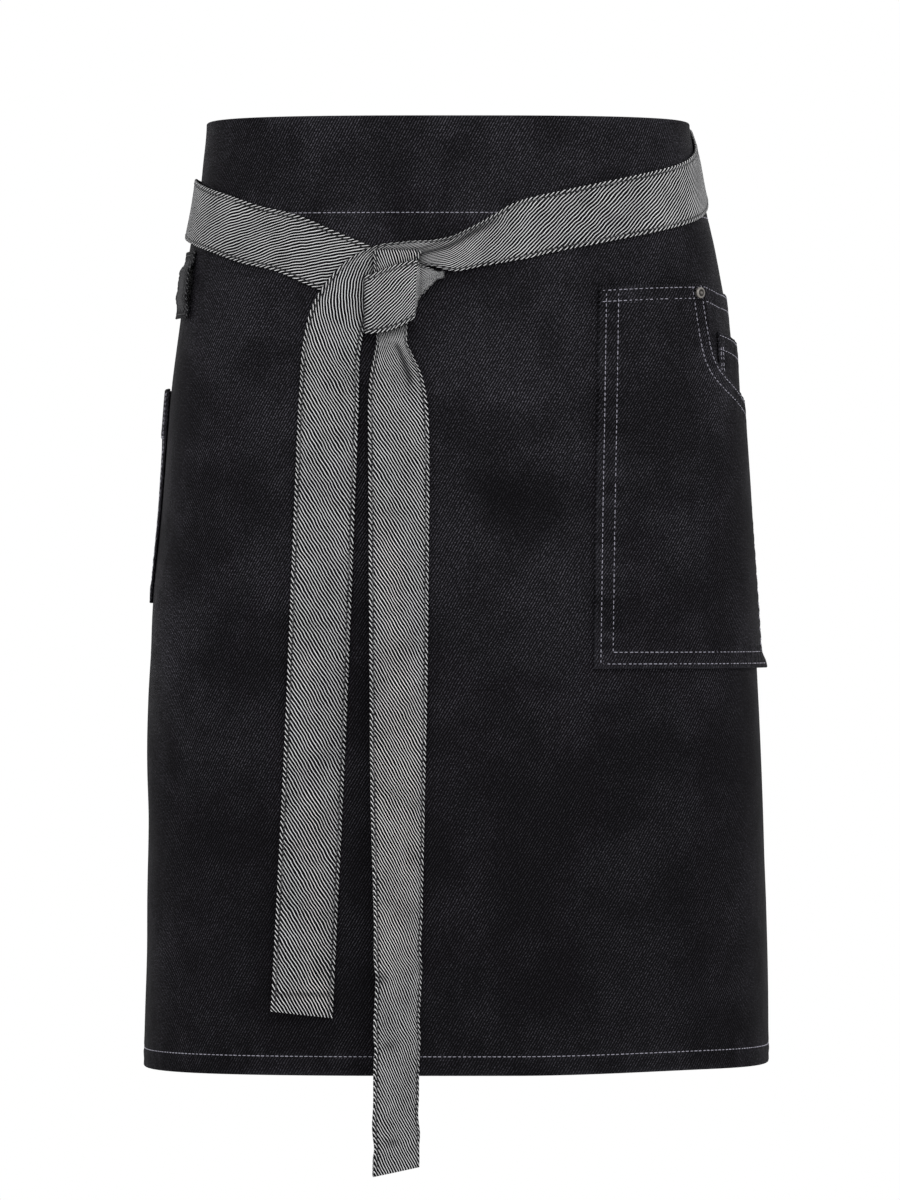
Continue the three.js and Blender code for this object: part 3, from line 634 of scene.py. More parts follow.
def sewn(name, points, along, out, material, length=2.0, radius=0.28, arch=0.4, seed=1):
    """Stitches at points in millimetres, as one plain mesh."""
    mesh = bpy.data.meshes.new(name)
    mesh.from_pydata((points * 0.001).tolist(), [], [])
    for key, values in (("along", along), ("out", out)):
        attribute = mesh.attributes.new(key, "FLOAT_VECTOR", "POINT")
        attribute.data.foreach_set("vector", np.asarray(values, np.float32).ravel())
    made = bpy.data.objects.new(name, mesh)
    scene.collection.objects.link(made)
    modifier = made.modifiers.new("stitches", "NODES")
    modifier.node_group = STITCHES
    wanted = {
        "Length": length * 0.001,
        "Radius": radius * 0.001,
        "Arch": arch * 0.001,
        "Seed": seed,
        "Material": material,
    }
    for item in STITCHES.interface.items_tree:
        if item.in_out == "INPUT" and item.name in wanted:
            modifier[item.identifier] = wanted[item.name]
    graph = bpy.context.evaluated_depsgraph_get()
    plain = bpy.data.meshes.new_from_object(made.evaluated_get(graph))
    made.modifiers.clear()
    made.data = plain
    return made


def seam_stitches(seams, surface, pitch=STITCH, stand=0.0):
    """Points, directions and outward directions of stitches along seams on a surface lift(s, z)."""
    parts = []
    for seam in seams:
        line, run = resampled(seam, pitch)
        s, z = line.T
        ds, dz = np.gradient(s, run), np.gradient(z, run)
        size = np.hypot(ds, dz)
        ds, dz = ds / size, dz / size

        def at(a, b):
            return cloth_point(a, b, surface(a, b) - STITCH_DEPTH + 0.2 + stand)

        along = at(s + ds, z + dz) - at(s - ds, z - dz)
        out = np.cross(at(s + 1, z) - at(s - 1, z), at(s, z + 1) - at(s, z - 1))
        parts.append((at(s, z), unit(along), unit(out)))
    return [np.concatenate(column) for column in zip(*parts)]


def place_piece(piece, node=None):
    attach(piece, "root")
    if node:
        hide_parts(node)


# Panel
def panel():
    """The whole panel, thicker where its waist facing, hem and sides are folded."""
    s, z = np.meshgrid(spaced(-HALF_PANEL, HALF_PANEL, 3.8), spaced(HEM, TOP, 4.0, (0, HEM + HEM_DEPTH)))
    thick_top = folded(z - TOP + FACING)
    thick_hem = folded(HEM + HEM_DEPTH - z)
    thick_side = folded(np.abs(s) - HALF_PANEL + SIDE_FOLD)
    thick = CLOTH + FOLD * np.maximum(np.maximum(thick_top, thick_hem), thick_side)
    roping = 0.25 * np.sin(s * 0.62 + z * 0.35) * smooth((HEM + HEM_DEPTH - z) / 3)
    high, low, side = TOP - FACING - 1, HEM + HEM_DEPTH, HALF_PANEL - SIDE_FOLD + 1
    seams = [
        [(2 - HALF_PANEL, high), (HALF_PANEL - 2, high)],
        [(-side, low), (side, low)],
        [(-side, low), (-side, TOP - 2)],
        [(side, low), (side, TOP - 2)],
    ]
    made = cloth_wall("denim_panel", s, z, roping - 0.1, -thick, DENIM, seams)
    place_piece(made, "apron_panel")
    thread = sewn("panel_topstitch", *seam_stitches(seams, lambda a, b: 0 * a - 0.1), LIGHT_THREAD, seed=3)
    place_piece(thread)


panel()

# Ties. A row gives the centre round the cloth, its height and lift, the lean of its width in degrees, the
# twist out of the cloth, the width and the steps to the next row.
KNOT_ACROSS = -0.1 * HALF_PANEL
KNOT_HEIGHT = -0.84 * TOP
TAIL_START = KNOT_HEIGHT - 2.3 * TIE_WIDTH
TAIL_LEFT = 364.0
TAIL_RIGHT = 461.0
ROOT_LAP = 28.0
ROOT_HEIGHT = TOP - TIE_WIDTH / 2 - 3
WALL_IN = CLOTH + FOLD + GAP + TIE_THICK / 2
LIFT = GAP + TIE_THICK / 2 + 0.55
BACK_GAP = float(ring_length(TIE_WIDTH / 2)) - PANEL
FINER = 4
KEYS = ("around", "up", "lift", "lean", "twist", "width")


def layer_lift(layer):
    return GAP + TIE_THICK / 2 + layer * TIE_LAYER


def row_of(steps, *values):
    return dict(zip(KEYS, values), steps=steps)


def wrap_rows(rows):
    """Rows of the full width that lie flat on the cloth."""
    return [row_of(steps, around, up, lift, lean, 0.0, TIE_WIDTH) for around, up, lift, lean, steps in rows]


def knot_rows(rows):
    """Rows given from the knot's centre in tie widths, with the lift in layers."""
    made = []
    for x, z, layer, lean, wide, steps in rows:
        across, up = KNOT_ACROSS + x * TIE_WIDTH, KNOT_HEIGHT + z * TIE_WIDTH
        made.append(row_of(steps, across, up, layer_lift(layer), lean, 0.0, wide * TIE_WIDTH))
    return made


def smooth_run(rows, keys=KEYS, finer=FINER):
    spots = []
    for i, row in enumerate(rows[:-1]):
        count = row["steps"] * finer
        spots += [i + k / count for k in range(count)]
    spots.append(len(rows) - 1)
    columns = [between([row[key] for row in rows], spots) for key in keys]
    return [dict(zip(keys, values)) for values in zip(*columns)]


def turn_back(x, z, layers, lean, wide, heading, bulge):
    """The rows of a turn back on itself, given from the knot's centre in tie widths."""
    parts = 14
    rows = []
    c, s = math.cos(math.radians(heading)), math.sin(math.radians(heading))
    low, high = layer_lift(layers[0]), layer_lift(layers[1])
    for k in range(1, parts):
        angle = math.pi * k / parts
        share = 0.5 - 0.5 * math.cos(angle)
        out = bulge * TIE_WIDTH * math.sin(angle)
        slope = bulge * TIE_WIDTH * math.cos(angle)
        rows.append({
            "around": KNOT_ACROSS + x * TIE_WIDTH + out * c,
            "up": KNOT_HEIGHT + z * TIE_WIDTH + out * s,
            "lift": low + (high - low) * share,
            "lean": lean[0] + (lean[1] - lean[0]) * share,
            "twist": 0.0,
            "width": (wide[0] + (wide[1] - wide[0]) * share) * TIE_WIDTH,
            "along": (slope * c, slope * s, 0.5 * (high - low) * math.sin(angle)),
        })
    return rows


def round_the_back(distance, height):
    """A tie's distance, with the back gap stretched or squeezed to its width at that height."""
    gap = ring_length(height) - PANEL
    far = np.abs(distance)
    inside = HALF_PANEL + gap * (far - HALF_PANEL) / BACK_GAP
    beyond = far + gap - BACK_GAP
    turned = np.where(far <= HALF_PANEL + BACK_GAP, inside, beyond)
    return np.where(far <= HALF_PANEL, distance, np.sign(distance) * turned)


def tie_place(places):
    """Points in millimetres of a tie's places, which are distance, height and lift."""
    return cloth_point(round_the_back(places[..., 0], places[..., 1]), places[..., 1], places[..., 2])


class Tape:
    """A flat tape along its stations, in (distance, height, lift) space."""

    def __init__(self, stations, rolls=(), waves=()):
        self.centre = np.array([[s[k] for k in KEYS[:3]] for s in stations])
        lean, twist = (np.radians([s[k] for s in stations]) for k in ("lean", "twist"))
        self.half = 0.5 * np.array([s["width"] for s in stations])
        self.wide = np.stack([np.cos(lean) * np.cos(twist), np.sin(lean) * np.cos(twist), np.sin(twist)], 1)
        padded = np.concatenate([self.centre[:1], self.centre, self.centre[-1:]])
        along = unit(padded[2:] - padded[:-2])
        for i, station in enumerate(stations):
            if "along" in station:
                along[i] = unit(np.array(station["along"]))
        self.along = along
        self.thick = unit(np.cross(along, self.wide))
        world = tie_place(self.centre)
        steps = np.linalg.norm(np.diff(world, axis=0), axis=1)
        self.run = np.concatenate([[0], np.cumsum(steps)])
        self.end_gap = np.minimum(self.run, self.run[-1] - self.run)
        self.rolls = rolls
        self.waves = waves

    def creased(self, share):
        """How far rolls and waves lift the tape off its flat form, and a 0 to 1 mask of painted shade in the
        creases and on steep turns.
        """
        up = self.centre[:, 1, None]
        rise, mask = 0 * share, 0 * share
        for axis, start, end, near, far, depth, spread in self.rolls:
            along = (self.centre[:, axis, None] - start) / (end - start)
            here = smooth(along * 7) * smooth((1 - along) * 3)
            aside = share - far - (near - far) * (1 - np.clip(along, 0, 1)) ** 3
            groove = here * np.exp(-((aside / spread) ** 2))
            ridge = here * np.exp(-(((aside - 2.1 * spread) / (1.3 * spread)) ** 2))
            rise = rise + depth * (0.7 * ridge - groove)
            mask = np.maximum(mask, groove)
        for level, height, long, dark in self.waves:
            fall = up - level + 3 * share
            rise = rise + height * np.exp(-((fall / long) ** 2))
            # Painted shade along the wave's crease.
            if dark:
                mask = np.maximum(mask, 0.6 * np.exp(-((fall / dark) ** 2)))
        # Painted shade on the tape's steep turns.
        steep_shade = np.clip((np.abs(self.along[:, 2, None]) - 0.35) / 0.5, 0, 1)
        return rise, np.maximum(mask, 0.7 * steep_shade)

    def place(self, share, out):
        """Places in millimetres at shares of the half width, and so far off the tape's middle."""
        out = np.broadcast_to(out, share.shape) + self.creased(share)[0]
        base = self.centre[:, None] + self.wide[:, None] * (self.half[:, None] * share)[..., None]
        return tie_place(base + self.thick[:, None] * out[..., None])

    def mesh(self, name, material):
        offsets = np.array([0, 0.12, 0.45, 1.0, 1.7, 2.4, 3.1, 4.4, 5.7, 7.2, 8.9, 10.7, 12.6, 14.6, 16.8])
        half_width = TIE_WIDTH / 2
        share = np.concatenate([offsets / half_width - 1, [0], (1 - offsets / half_width)[::-1]])
        share = np.broadcast_to(share, (len(self.run), len(share)))
        edge = (1 - np.abs(share)) * half_width
        rim = np.minimum(edge, self.end_gap[:, None])
        turn = 1 - np.clip(rim / (0.5 * TIE_THICK), 0, 1)
        half = 0.5 * TIE_THICK * np.maximum(0.1, np.sqrt(1 - turn * turn))
        groove = 0.3 * np.exp(-(((edge - TAPE_SEAM) / 0.9) ** 2))
        run = self.run[:, None]
        pucker = 0.12 * np.sin(run * 1.25 + 2 * np.sin(run / 17)) * np.exp(-((edge / 3.5) ** 2))
        half = half - groove * np.clip(rim / 1.2, 0, 1)
        free = self.run[-1] - run
        half = half + 0.35 * smooth((TAPE_HEM - free) / 1.2)
        front = self.place(share, half + pucker)
        back = self.place(share, -half + pucker)
        points = np.concatenate([front.reshape(-1, 3), back.reshape(-1, 3)])
        faces = outwards(points, grid_faces(*share.shape))
        u = np.broadcast_to(share * half_width, share.shape).ravel() * 0.001
        v = np.broadcast_to(run, share.shape).ravel() * 0.001
        uv = np.concatenate([np.stack([-u, v], 1), np.stack([u, v], 1)])
        # Painted shade in the stitch groove near each edge; with the painted crease shade and a darker line
        # along the hem's stitching it makes the seam mark.
        line = 0.55 * np.exp(-(((edge - TAPE_SEAM) / 0.6) ** 2))
        dark = np.maximum(line, self.creased(share)[1])
        dark = np.maximum(dark, 0.8 * np.exp(-(((free - TAPE_HEM + 0.4) / 0.8) ** 2))).ravel()
        return new_object(name, points, faces, uv, material, {"seam": np.concatenate([dark, dark])})

    def sampled(self, column, at):
        """A column of places, one for each station, read off at distances along the tape."""
        return np.stack([np.interp(at, self.run, column[:, k]) for k in range(3)], 1)

    def stitches(self, face, inset=TAPE_SEAM, pitch=3.2):
        """Points, directions and outward directions of the stitches on one face."""
        points, along, out = [], [], []
        count = int((self.run[-1] - 8) / pitch)
        at = 4 + (np.arange(count) + 0.5) * pitch
        for side in (-1, 1):
            share = np.full((len(self.run), 1), side * (1 - inset / (TIE_WIDTH / 2)))
            line = self.place(share, face * (0.5 * TIE_THICK - 0.16))[:, 0]
            over = self.place(share, face * (0.5 * TIE_THICK + 1))[:, 0]
            before, here, beyond = (self.sampled(line, at + shift) for shift in (-1, 0, 1))
            points.append(here)
            along.append(unit(beyond - before))
            out.append(unit(self.sampled(over - line, at)))
        # The free end's hem, sewn across the tape
        row = int(np.searchsorted(self.run, self.run[-1] - TAPE_HEM + 1))
        for share in np.linspace(-0.8, 0.8, 11):
            places = np.full((len(self.run), 1), share)
            ends = [self.place(places + d, face * (0.5 * TIE_THICK - 0.1))[row, 0] for d in (-0.05, 0.05)]
            over = self.place(places, face * 3.0)[row, 0]
            points.append([(ends[0] + ends[1]) / 2])
            along.append(unit(np.array([ends[1] - ends[0]])))
            out.append(unit(np.array([over - (ends[0] + ends[1]) / 2])))
        return [np.concatenate(column) for column in (points, along, out)]


def left_tie_stations():
    """From its seam at the back, round the left side, under the knot, over it as the band, and down."""
    edge, gap, root = HALF_PANEL, BACK_GAP, ROOT_HEIGHT
    wrap = wrap_rows([
        (-(edge + gap + ROOT_LAP), root, -WALL_IN, 90, 3),
        (-(edge + gap + 6), root, -WALL_IN, 90, 3),
        (-(edge + 0.86 * gap), 0.86 * root, -WALL_IN, 80, 4),
        (-(edge + 0.36 * gap), 0.02 * root, -WALL_IN, 78, 4),
        (-(edge + 0.2 * gap), -0.08 * root, -0.4 * WALL_IN, 88, 3),
        (-(edge + 2), -0.07 * root, LIFT, 92, 6),
        (-0.86 * edge, 0.14 * root, LIFT + 1.4, 92, 8),
        (-0.66 * edge, 0.22 * root, LIFT + 2.2, 90, 6),
        (-0.53 * edge, 0.1 * root, LIFT + 1.2, 84, 5),
        (-0.42 * edge, -0.12 * root, LIFT, 74, 4),
        (-0.345 * edge, -0.34 * root, LIFT, 71, 4),
    ])
    into = knot_rows([
        (-1.77, 0.83, 0.1, 68, 1, 3),
        (-1.14, 0.56, 0, 68, 1, 3),
        (-0.5, 0.3, 0, 70, 0.98, 3),
        (0.0, 0.14, 0, 76, 0.86, 3),
        (0.32, 0.2, 0, 86, 0.5, 2),
        (0.56, 0.25, 0.05, 90, 0.24, 2),
        (0.74, 0.28, 0.1, 90, 0.09, 1),
    ])
    band = knot_rows([
        (0.74, 0.28, 0.95, 90, 0.14, 2),
        (0.62, 0.245, 1.4, 90, 0.32, 2),
        (0.5, 0.2, 2.4, 89, 0.49, 2),
        (0.43, 0.16, 3.5, 88, 0.64, 2),
        (0.39, 0.06, 4.1, 88, 0.93, 2),
        (0.34, 0.03, 4.35, 88, 1.0, 2),
        (0.0, -0.1, 4.45, 90, 1.06, 3),
        (-0.33, -0.2, 4.15, 90, 0.98, 1),
    ])
    # Behind the band the tie swings up about its inner edge: inner x and z, outer x and z, steps
    swing = [
        (-0.3, 0.27, -0.3, -0.67, 2),
        (-0.27, 0.275, -0.08, -0.56, 2),
        (-0.25, 0.288, 0.14, -0.33, 2),
        (-0.238, 0.32, 0.27, -0.05, 2),
        (-0.232, 0.39, 0.33, 0.25, 2),
        (-0.23, 0.51, 0.38, 0.45, 2),
        (-0.229, 0.64, 0.46, 0.64, 1),
    ]
    names = ("a", "b", "c", "d", "steps")
    edges = smooth_run([dict(zip(names, row)) for row in swing], names[:4])
    back = knot_rows([
        (
            (e["a"] + e["c"]) / 2,
            (e["b"] + e["d"]) / 2,
            2,
            math.degrees(math.atan2(e["b"] - e["d"], e["a"] - e["c"])),
            math.hypot(e["b"] - e["d"], e["a"] - e["c"]),
            1,
        )
        for e in edges
    ])
    down = knot_rows([
        (0.09, 0.64, 3.1, 180, 0.78, 2),
        (0.05, 0.4, 3, 180, 0.68, 2),
        (0.02, 0.0, 3, 180, 0.62, 3),
        (0.0, -0.5, 3, 180, 0.52, 2),
        (0.0, -0.8, 2.8, 180, 0.5, 2),
        (0.03, -1.05, 2.4, 180, 0.64, 2),
        (0.08, -1.5, 1.8, 180, 0.9, 3),
        (0.11, -2.3, 1.4, 180, 1, 6),
    ])
    turns = (
        (0.14, 0.12, 180, 12),
        (0.3, 0.12, 180, 20),
        (0.48, 0.11, 180, 30),
        (0.7, 0.12, 180, 43),
        (0.88, 0.09, 180, 45),
        (1, 0.085, 189, 44),
    )
    for fall, aside, lean, twist in turns:
        lift = 1.2 * TIE_LAYER + 0.5 * TIE_WIDTH * math.sin(math.radians(twist))
        across, height = KNOT_ACROSS + aside * TIE_WIDTH, TAIL_START - fall * TAIL_RIGHT
        down.append(row_of(4, across, height, lift, lean, twist, TIE_WIDTH))
    return [
        *smooth_run([*wrap, *into]),
        *turn_back(0.745, 0.28, (0.1, 0.95), (90, 90), (0.08, 0.13), 8, 0.1),
        *smooth_run(band),
        *turn_back(-0.34, -0.2, (4.1, 2), (90, 90), (0.97, 0.95), 180, 0.09),
        *back,
        *turn_back(0.09, 0.66, (2, 3.1), (180, 180), (0.75, 0.77), 90, 0.55 * TIE_LAYER / TIE_WIDTH),
        *smooth_run(down),
    ]


def right_tie_stations():
    """From its seam at the back, round the right side and behind the band, and down."""
    edge, gap, root = HALF_PANEL, BACK_GAP, ROOT_HEIGHT
    wrap = wrap_rows([
        (edge + gap + ROOT_LAP, root, -WALL_IN, 90, 3),
        (edge + gap + 4, root, -WALL_IN, 90, 2),
        (edge + 0.94 * gap, root, -0.8 * WALL_IN, 90, 3),
        (edge + 0.7 * gap, root, 0.4 * WALL_IN, 90, 4),
        (edge + 0.3 * gap, root, 0.5 * WALL_IN, 90, 4),
        (edge + 2, 1.04 * root, LIFT, 90, 12),
        (0.72 * edge, 1.08 * root, LIFT, 92, 6),
        (0.6 * edge, 0.91 * root, LIFT, 100, 6),
        (0.42 * edge, 0.37 * root, LIFT, 108, 6),
    ])
    into = knot_rows([
        (2.34, 1.09, 0.15, 109, 0.97, 3),
        (1.86, 0.92, 0.3, 110, 0.84, 3),
        (1.4, 0.76, 0.6, 108, 0.68, 3),
        (0.93, 0.63, 0.9, 100, 0.56, 3),
        (0.56, 0.65, 1, 94, 0.42, 3),
        (0.2, 0.62, 1, 104, 0.44, 3),
        (-0.14, 0.5, 1, 124, 0.62, 3),
        (-0.5, 0.2, 1, 146, 0.84, 4),
        (-0.84, -0.3, 1, 164, 0.94, 3),
        (-0.99, -0.9, 1, 175, 0.96, 3),
        (-1.03, -1.6, 1, 180, 0.98, 3),
        (-1.06, -2.3, 1, 181, 1, 6),
    ])
    turns = ((0.5, -1.24, 1.6, 182, 10), (0.96, -1.43, 3.4, 180, 16), (1, -1.45, 3.5, 173, 16))
    for fall, aside, layer, lean, twist in turns:
        across, height = KNOT_ACROSS + aside * TIE_WIDTH, TAIL_START - fall * TAIL_LEFT
        into.append(row_of(6, across, height, layer * TIE_LAYER, lean, twist, TIE_WIDTH))
    return smooth_run([*wrap, *into])


def tie(side, stations, rolls=(), waves=()):
    tape = Tape(stations, rolls, waves)
    made = tape.mesh(f"twill_tape_{side}", TAPE)
    place_piece(made, f"tie_{side}")
    for face, label in ((1, "one"), (-1, "two")):
        name = f"tape_{side}_edge_stitch_{label}"
        places = tape.stitches(face)
        thread = sewn(name, *places, DARK_THREAD, length=2.1, radius=0.4, arch=0.3, seed=7 + face)
        place_piece(thread)


# A roll: axis (0 round the cloth, 1 up), start and end, its place across the tape at both, depth and spread.
# A wave: height, rise, spread, and how wide its painted crease shade is.
STRAP_ROLLS = [(0, -26, 44, -0.35, 0.78, 2.0, 0.14)]
TAIL_ROLLS = [(1, -80, -114, -0.25, -0.5, 1.3, 0.15)]
TAIL_WAVES = [
    (-76, -0.7, 5, 2.4),
    (-462, 0.8, 9, 0),
    (-475, -1.0, 7, 1.0),
    (-506, 0.7, 10, 0),
    (-519, -0.9, 6, 0.9),
    (-566, 0.8, 9, 0),
    (-579, -1.0, 6, 0.9),
]
tie("left", left_tie_stations(), TAIL_ROLLS, TAIL_WAVES)
tie("right", right_tie_stations(), STRAP_ROLLS)

# Right-hand pocket
POCKET_FROM = 92.0
POCKET_WIDTH = 172.0
POCKET_TO = POCKET_FROM + POCKET_WIDTH
POCKET_TOP = -47.0
POCKET_HEIGHT = 239.0
POCKET_FLOOR = POCKET_TOP - POCKET_HEIGHT
POCKET_GAPE = 5.0
SCOOP_FROM = POCKET_FROM + 69
SCOOP_DEPTH = 72.3
SCOOP = np.array([
    (0, 0),
    (0.016, 0.15),
    (0.053, 0.437),
    (0.1, 0.649),
    (0.181, 0.773),
    (0.33, 0.881),
    (0.524, 0.967),
    (0.767, 0.995),
    (1, 1),
])
BACK_LIFT = GAP + LAYER
FRONT_LIFT = BACK_LIFT + 1.25 * GAP
scoop_spots = np.linspace(0, len(SCOOP) - 1, 200)
SCOOP_ACROSS = between(SCOOP[:, 0], scoop_spots)
SCOOP_DROP = between(SCOOP[:, 1], scoop_spots)


def pocket_top(s):
    across = np.clip((s - POCKET_FROM) / POCKET_WIDTH, 0, 1)
    return POCKET_TOP + 3.4 * np.sin(np.pi * across)


def scoop_top(s):
    share = (s - SCOOP_FROM) / (POCKET_TO - SCOOP_FROM)
    return pocket_top(s) - SCOOP_DEPTH * np.interp(share, SCOOP_ACROSS, SCOOP_DROP)


def puckers(s, share):
    """Short level puckers beside the big pocket's left seams."""
    fall = (1 - share) * POCKET_HEIGHT
    wave = np.sin(fall / 2.9 + 2.2 * np.sin(fall / 19.0)) + 0.5 * np.sin(fall / 1.7 + 1.0)
    beside_seam = smooth((s - POCKET_FROM - 9) / 6) * np.exp(-np.maximum(0, s - POCKET_FROM - 14) / 11)
    return 0.55 * (1 + wave) * beside_seam * smooth((1 - share) * 8) * smooth(share * 12)


def right_gape(s, share):
    across = np.clip((s - POCKET_FROM) / POCKET_WIDTH, 0, 1)
    opened = np.maximum(0, np.sin(np.pi * across**0.62)) ** 0.7
    return POCKET_GAPE * opened * smooth((share - 0.15) / 0.85)


def taper(s, share):
    """How far the big pocket's right side runs in, and its left side out, towards its floor."""
    fall = 1 - np.clip(share, 0, 1)
    right = 15 * smooth((s - POCKET_TO + 70) / 70) * fall**0.7
    left = 3.4 * smooth((POCKET_FROM + 60 - s) / 60) * fall
    return right + left


def corner(s, share):
    """How far the big pocket's lower right corner curls off the panel."""
    return 3.0 * smooth((s - POCKET_TO + 30) / 30) * smooth((0.08 - share) / 0.08)


def pocket_piece(name, columns, floor, top_at, base, thick, gape, seams, node, step=3.5, narrow=None):
    """A pocket layer. Its top follows top_at(s), and gape(s, share) lifts it off what is behind it."""
    tallest = float(np.max(top_at(columns)))
    share = (spaced(floor, tallest, step) - floor) / (tallest - floor)
    s, part = np.meshgrid(columns, share)
    z = floor + part * (top_at(s) - floor)
    out = base + gape(s, part)

    def moved(a, b):
        return a - narrow(a, (b - floor) / (top_at(a) - floor)), b

    if narrow:
        s = s - narrow(s, part)
        seams = [np.array([moved(*spot) for spot in seam]) for seam in seams]
    made = cloth_wall(name, s, z, out + thick, out, DENIM, seams)
    place_piece(made, node)

    def surface(a, b):
        part = (b - floor) / (top_at(a) - floor)
        flat = a
        if narrow:
            flat = a + narrow(a + narrow(a, part), part)
            part = (b - floor) / (top_at(flat) - floor)
        return base + gape(flat, part) + thick

    thread = sewn(f"{name}_topstitch", *seam_stitches(seams, surface, 3.3), LIGHT_THREAD, seed=11)
    place_piece(thread)


def beside(points, offset):
    """The line of points, moved sideways by offset (to the left of its direction)."""
    points = np.asarray(points, float)
    step = unit(np.gradient(points, axis=0))
    return points + offset * np.stack([-step[:, 1], step[:, 0]], 1)


def right_pocket():
    start = SCOOP_FROM
    droop = [(start - 10, -44.5), (start + 1, -42), (171, -43), (189, -46.8), (230, -49.5), (POCKET_TO, -51)]

    def back_top(s):
        return np.minimum(pocket_top(s) + 1, np.interp(s, *np.transpose(droop)))

    def front_gape(s, share):
        return right_gape(s, share) + puckers(s, share) + corner(s, share)

    behind = np.linspace(SCOOP_FROM - 2, POCKET_TO - 3, 60)
    back_seams = [np.stack([behind, back_top(behind) - drop], 1) for drop in (2.2, 11.0)]
    pocket_piece(
        "pocket_back_layer", spaced(POCKET_FROM, POCKET_TO, 4), POCKET_FLOOR, back_top,
        GAP, LAYER, corner, back_seams, "pocket_right_back", narrow=taper,
    )
    scoop_columns = SCOOP_FROM + (POCKET_TO - SCOOP_FROM) * SCOOP_ACROSS
    columns = np.concatenate([spaced(POCKET_FROM, SCOOP_FROM, 3.5)[:-2], scoop_columns])
    columns = columns[np.concatenate([[True], np.diff(columns) > 0.15])]
    columns = np.sort(np.concatenate([columns, POCKET_TO - np.array([0.12, 0.4, 0.9, 1.8, 4, 7])]))
    rim = np.stack([scoop_columns, scoop_top(scoop_columns)], 1)
    top = np.linspace(POCKET_FROM + 1, SCOOP_FROM - 3, 30)
    seams = [np.stack([top, pocket_top(top) - inset], 1) for inset in (2.2, 9.2)]
    for inset in (2.4, 9.2):
        line = beside(rim, -inset)
        seams.append(line[(line[:, 0] < POCKET_TO - 3)])
    for inset in (4.0, 11.3):
        left, right, low = POCKET_FROM + inset, POCKET_TO - inset, POCKET_FLOOR + inset - 1
        seams.append([(left, POCKET_TOP - 3), (left, low)])
        seams.append([(a, low) for a in np.linspace(left, right, 30)])
        seams.append([(right, b) for b in np.linspace(low, float(scoop_top(np.array(right))) - 2, 30)])
    pocket_piece(
        "pocket_front_layer", columns, POCKET_FLOOR, scoop_top,
        FRONT_LIFT, CLOTH, front_gape, seams, "pocket_right_front", narrow=taper,
    )


right_pocket()

COIN_FROM = SCOOP_FROM + 21.4
COIN_WIDTH = 62.0
COIN_HEIGHT = 62.0
COIN_TOP = POCKET_TOP - 26
COIN_FLOOR = COIN_TOP - COIN_HEIGHT


def coin_pocket():
    def top_at(s):
        return COIN_TOP - 0.17 * (s - COIN_FROM)

    def gape(s, share):
        return 2.2 * np.sin(np.pi * np.clip((s - COIN_FROM) / COIN_WIDTH, 0, 1)) * smooth(share)

    across = np.linspace(COIN_FROM + 1, COIN_FROM + COIN_WIDTH - 1, 20)
    seams = [np.stack([across, top_at(across) - drop], 1) for drop in (2.2, 11.0)]
    for inset in (2.4, 5.2):
        for side in (COIN_FROM + inset, COIN_FROM + COIN_WIDTH - inset):
            seams.append([(side, COIN_TOP - 9), (side, COIN_FLOOR + 2)])
    pocket_piece(
        "coin_pocket_layer", spaced(COIN_FROM, COIN_FROM + COIN_WIDTH, 3), COIN_FLOOR, top_at,
        BACK_LIFT + GAP, LAYER, gape, seams, "coin_pocket", 3.0,
    )


coin_pocket()


def rivet():
    """A round of the profile, given in radii as distance from the axis and height."""
    radius = 3.6
    profile = [
        (0, -0.6), (0.62, -0.6), (0.9, -0.42), (1, -0.2),
        (1.0, 0.02), (0.96, 0.16), (0.86, 0.28), (0.74, 0.34),
        (0.62, 0.3), (0.54, 0.2), (0.46, 0.18), (0.38, 0.24),
        (0.3, 0.36), (0.2, 0.46), (0.1, 0.51), (0, 0.52),
    ]
    turns = 40
    s = SCOOP_FROM - 1.5 * radius
    z = float(pocket_top(np.array(s))) - 1.6 * radius
    seat = FRONT_LIFT + CLOTH + float(right_gape(np.array(s), 0.98)) + 0.6 * radius + GAP
    centre = cloth_point(s, z, seat)
    out = unit(cloth_point(s, z, seat + 10) - centre)
    side = unit(np.cross([0, 0, 1.0], out))
    up = np.cross(out, side)
    points, faces = [], []
    for r, h in profile:
        for k in range(turns):
            angle = 2 * math.pi * k / turns
            points.append(centre + radius * (r * (math.cos(angle) * side + math.sin(angle) * up) + h * out))
    for j in range(len(profile) - 1):
        for k in range(turns):
            m = (k + 1) % turns
            faces.append((j * turns + k, j * turns + m, (j + 1) * turns + m, (j + 1) * turns + k))
    points = np.array(points)
    faces = outwards(points, np.array(faces))
    made = new_object("jeans_rivet", points, faces, points[:, [0, 2]] * 0.001, NICKEL)
    shape = bmesh.new()
    shape.from_mesh(made.data)
    bmesh.ops.remove_doubles(shape, verts=shape.verts, dist=1e-7)
    shape.to_mesh(made.data)
    shape.free()
    place_piece(made, "rivet")


rivet()

# Left-hand pocket, with a deep top hem
SIDE_FROM = -0.9 * HALF_PANEL
SIDE_WIDTH = 100.0
SIDE_TOP = -108.0
SIDE_HEIGHT = 137.0
SIDE_HEM = 0.23


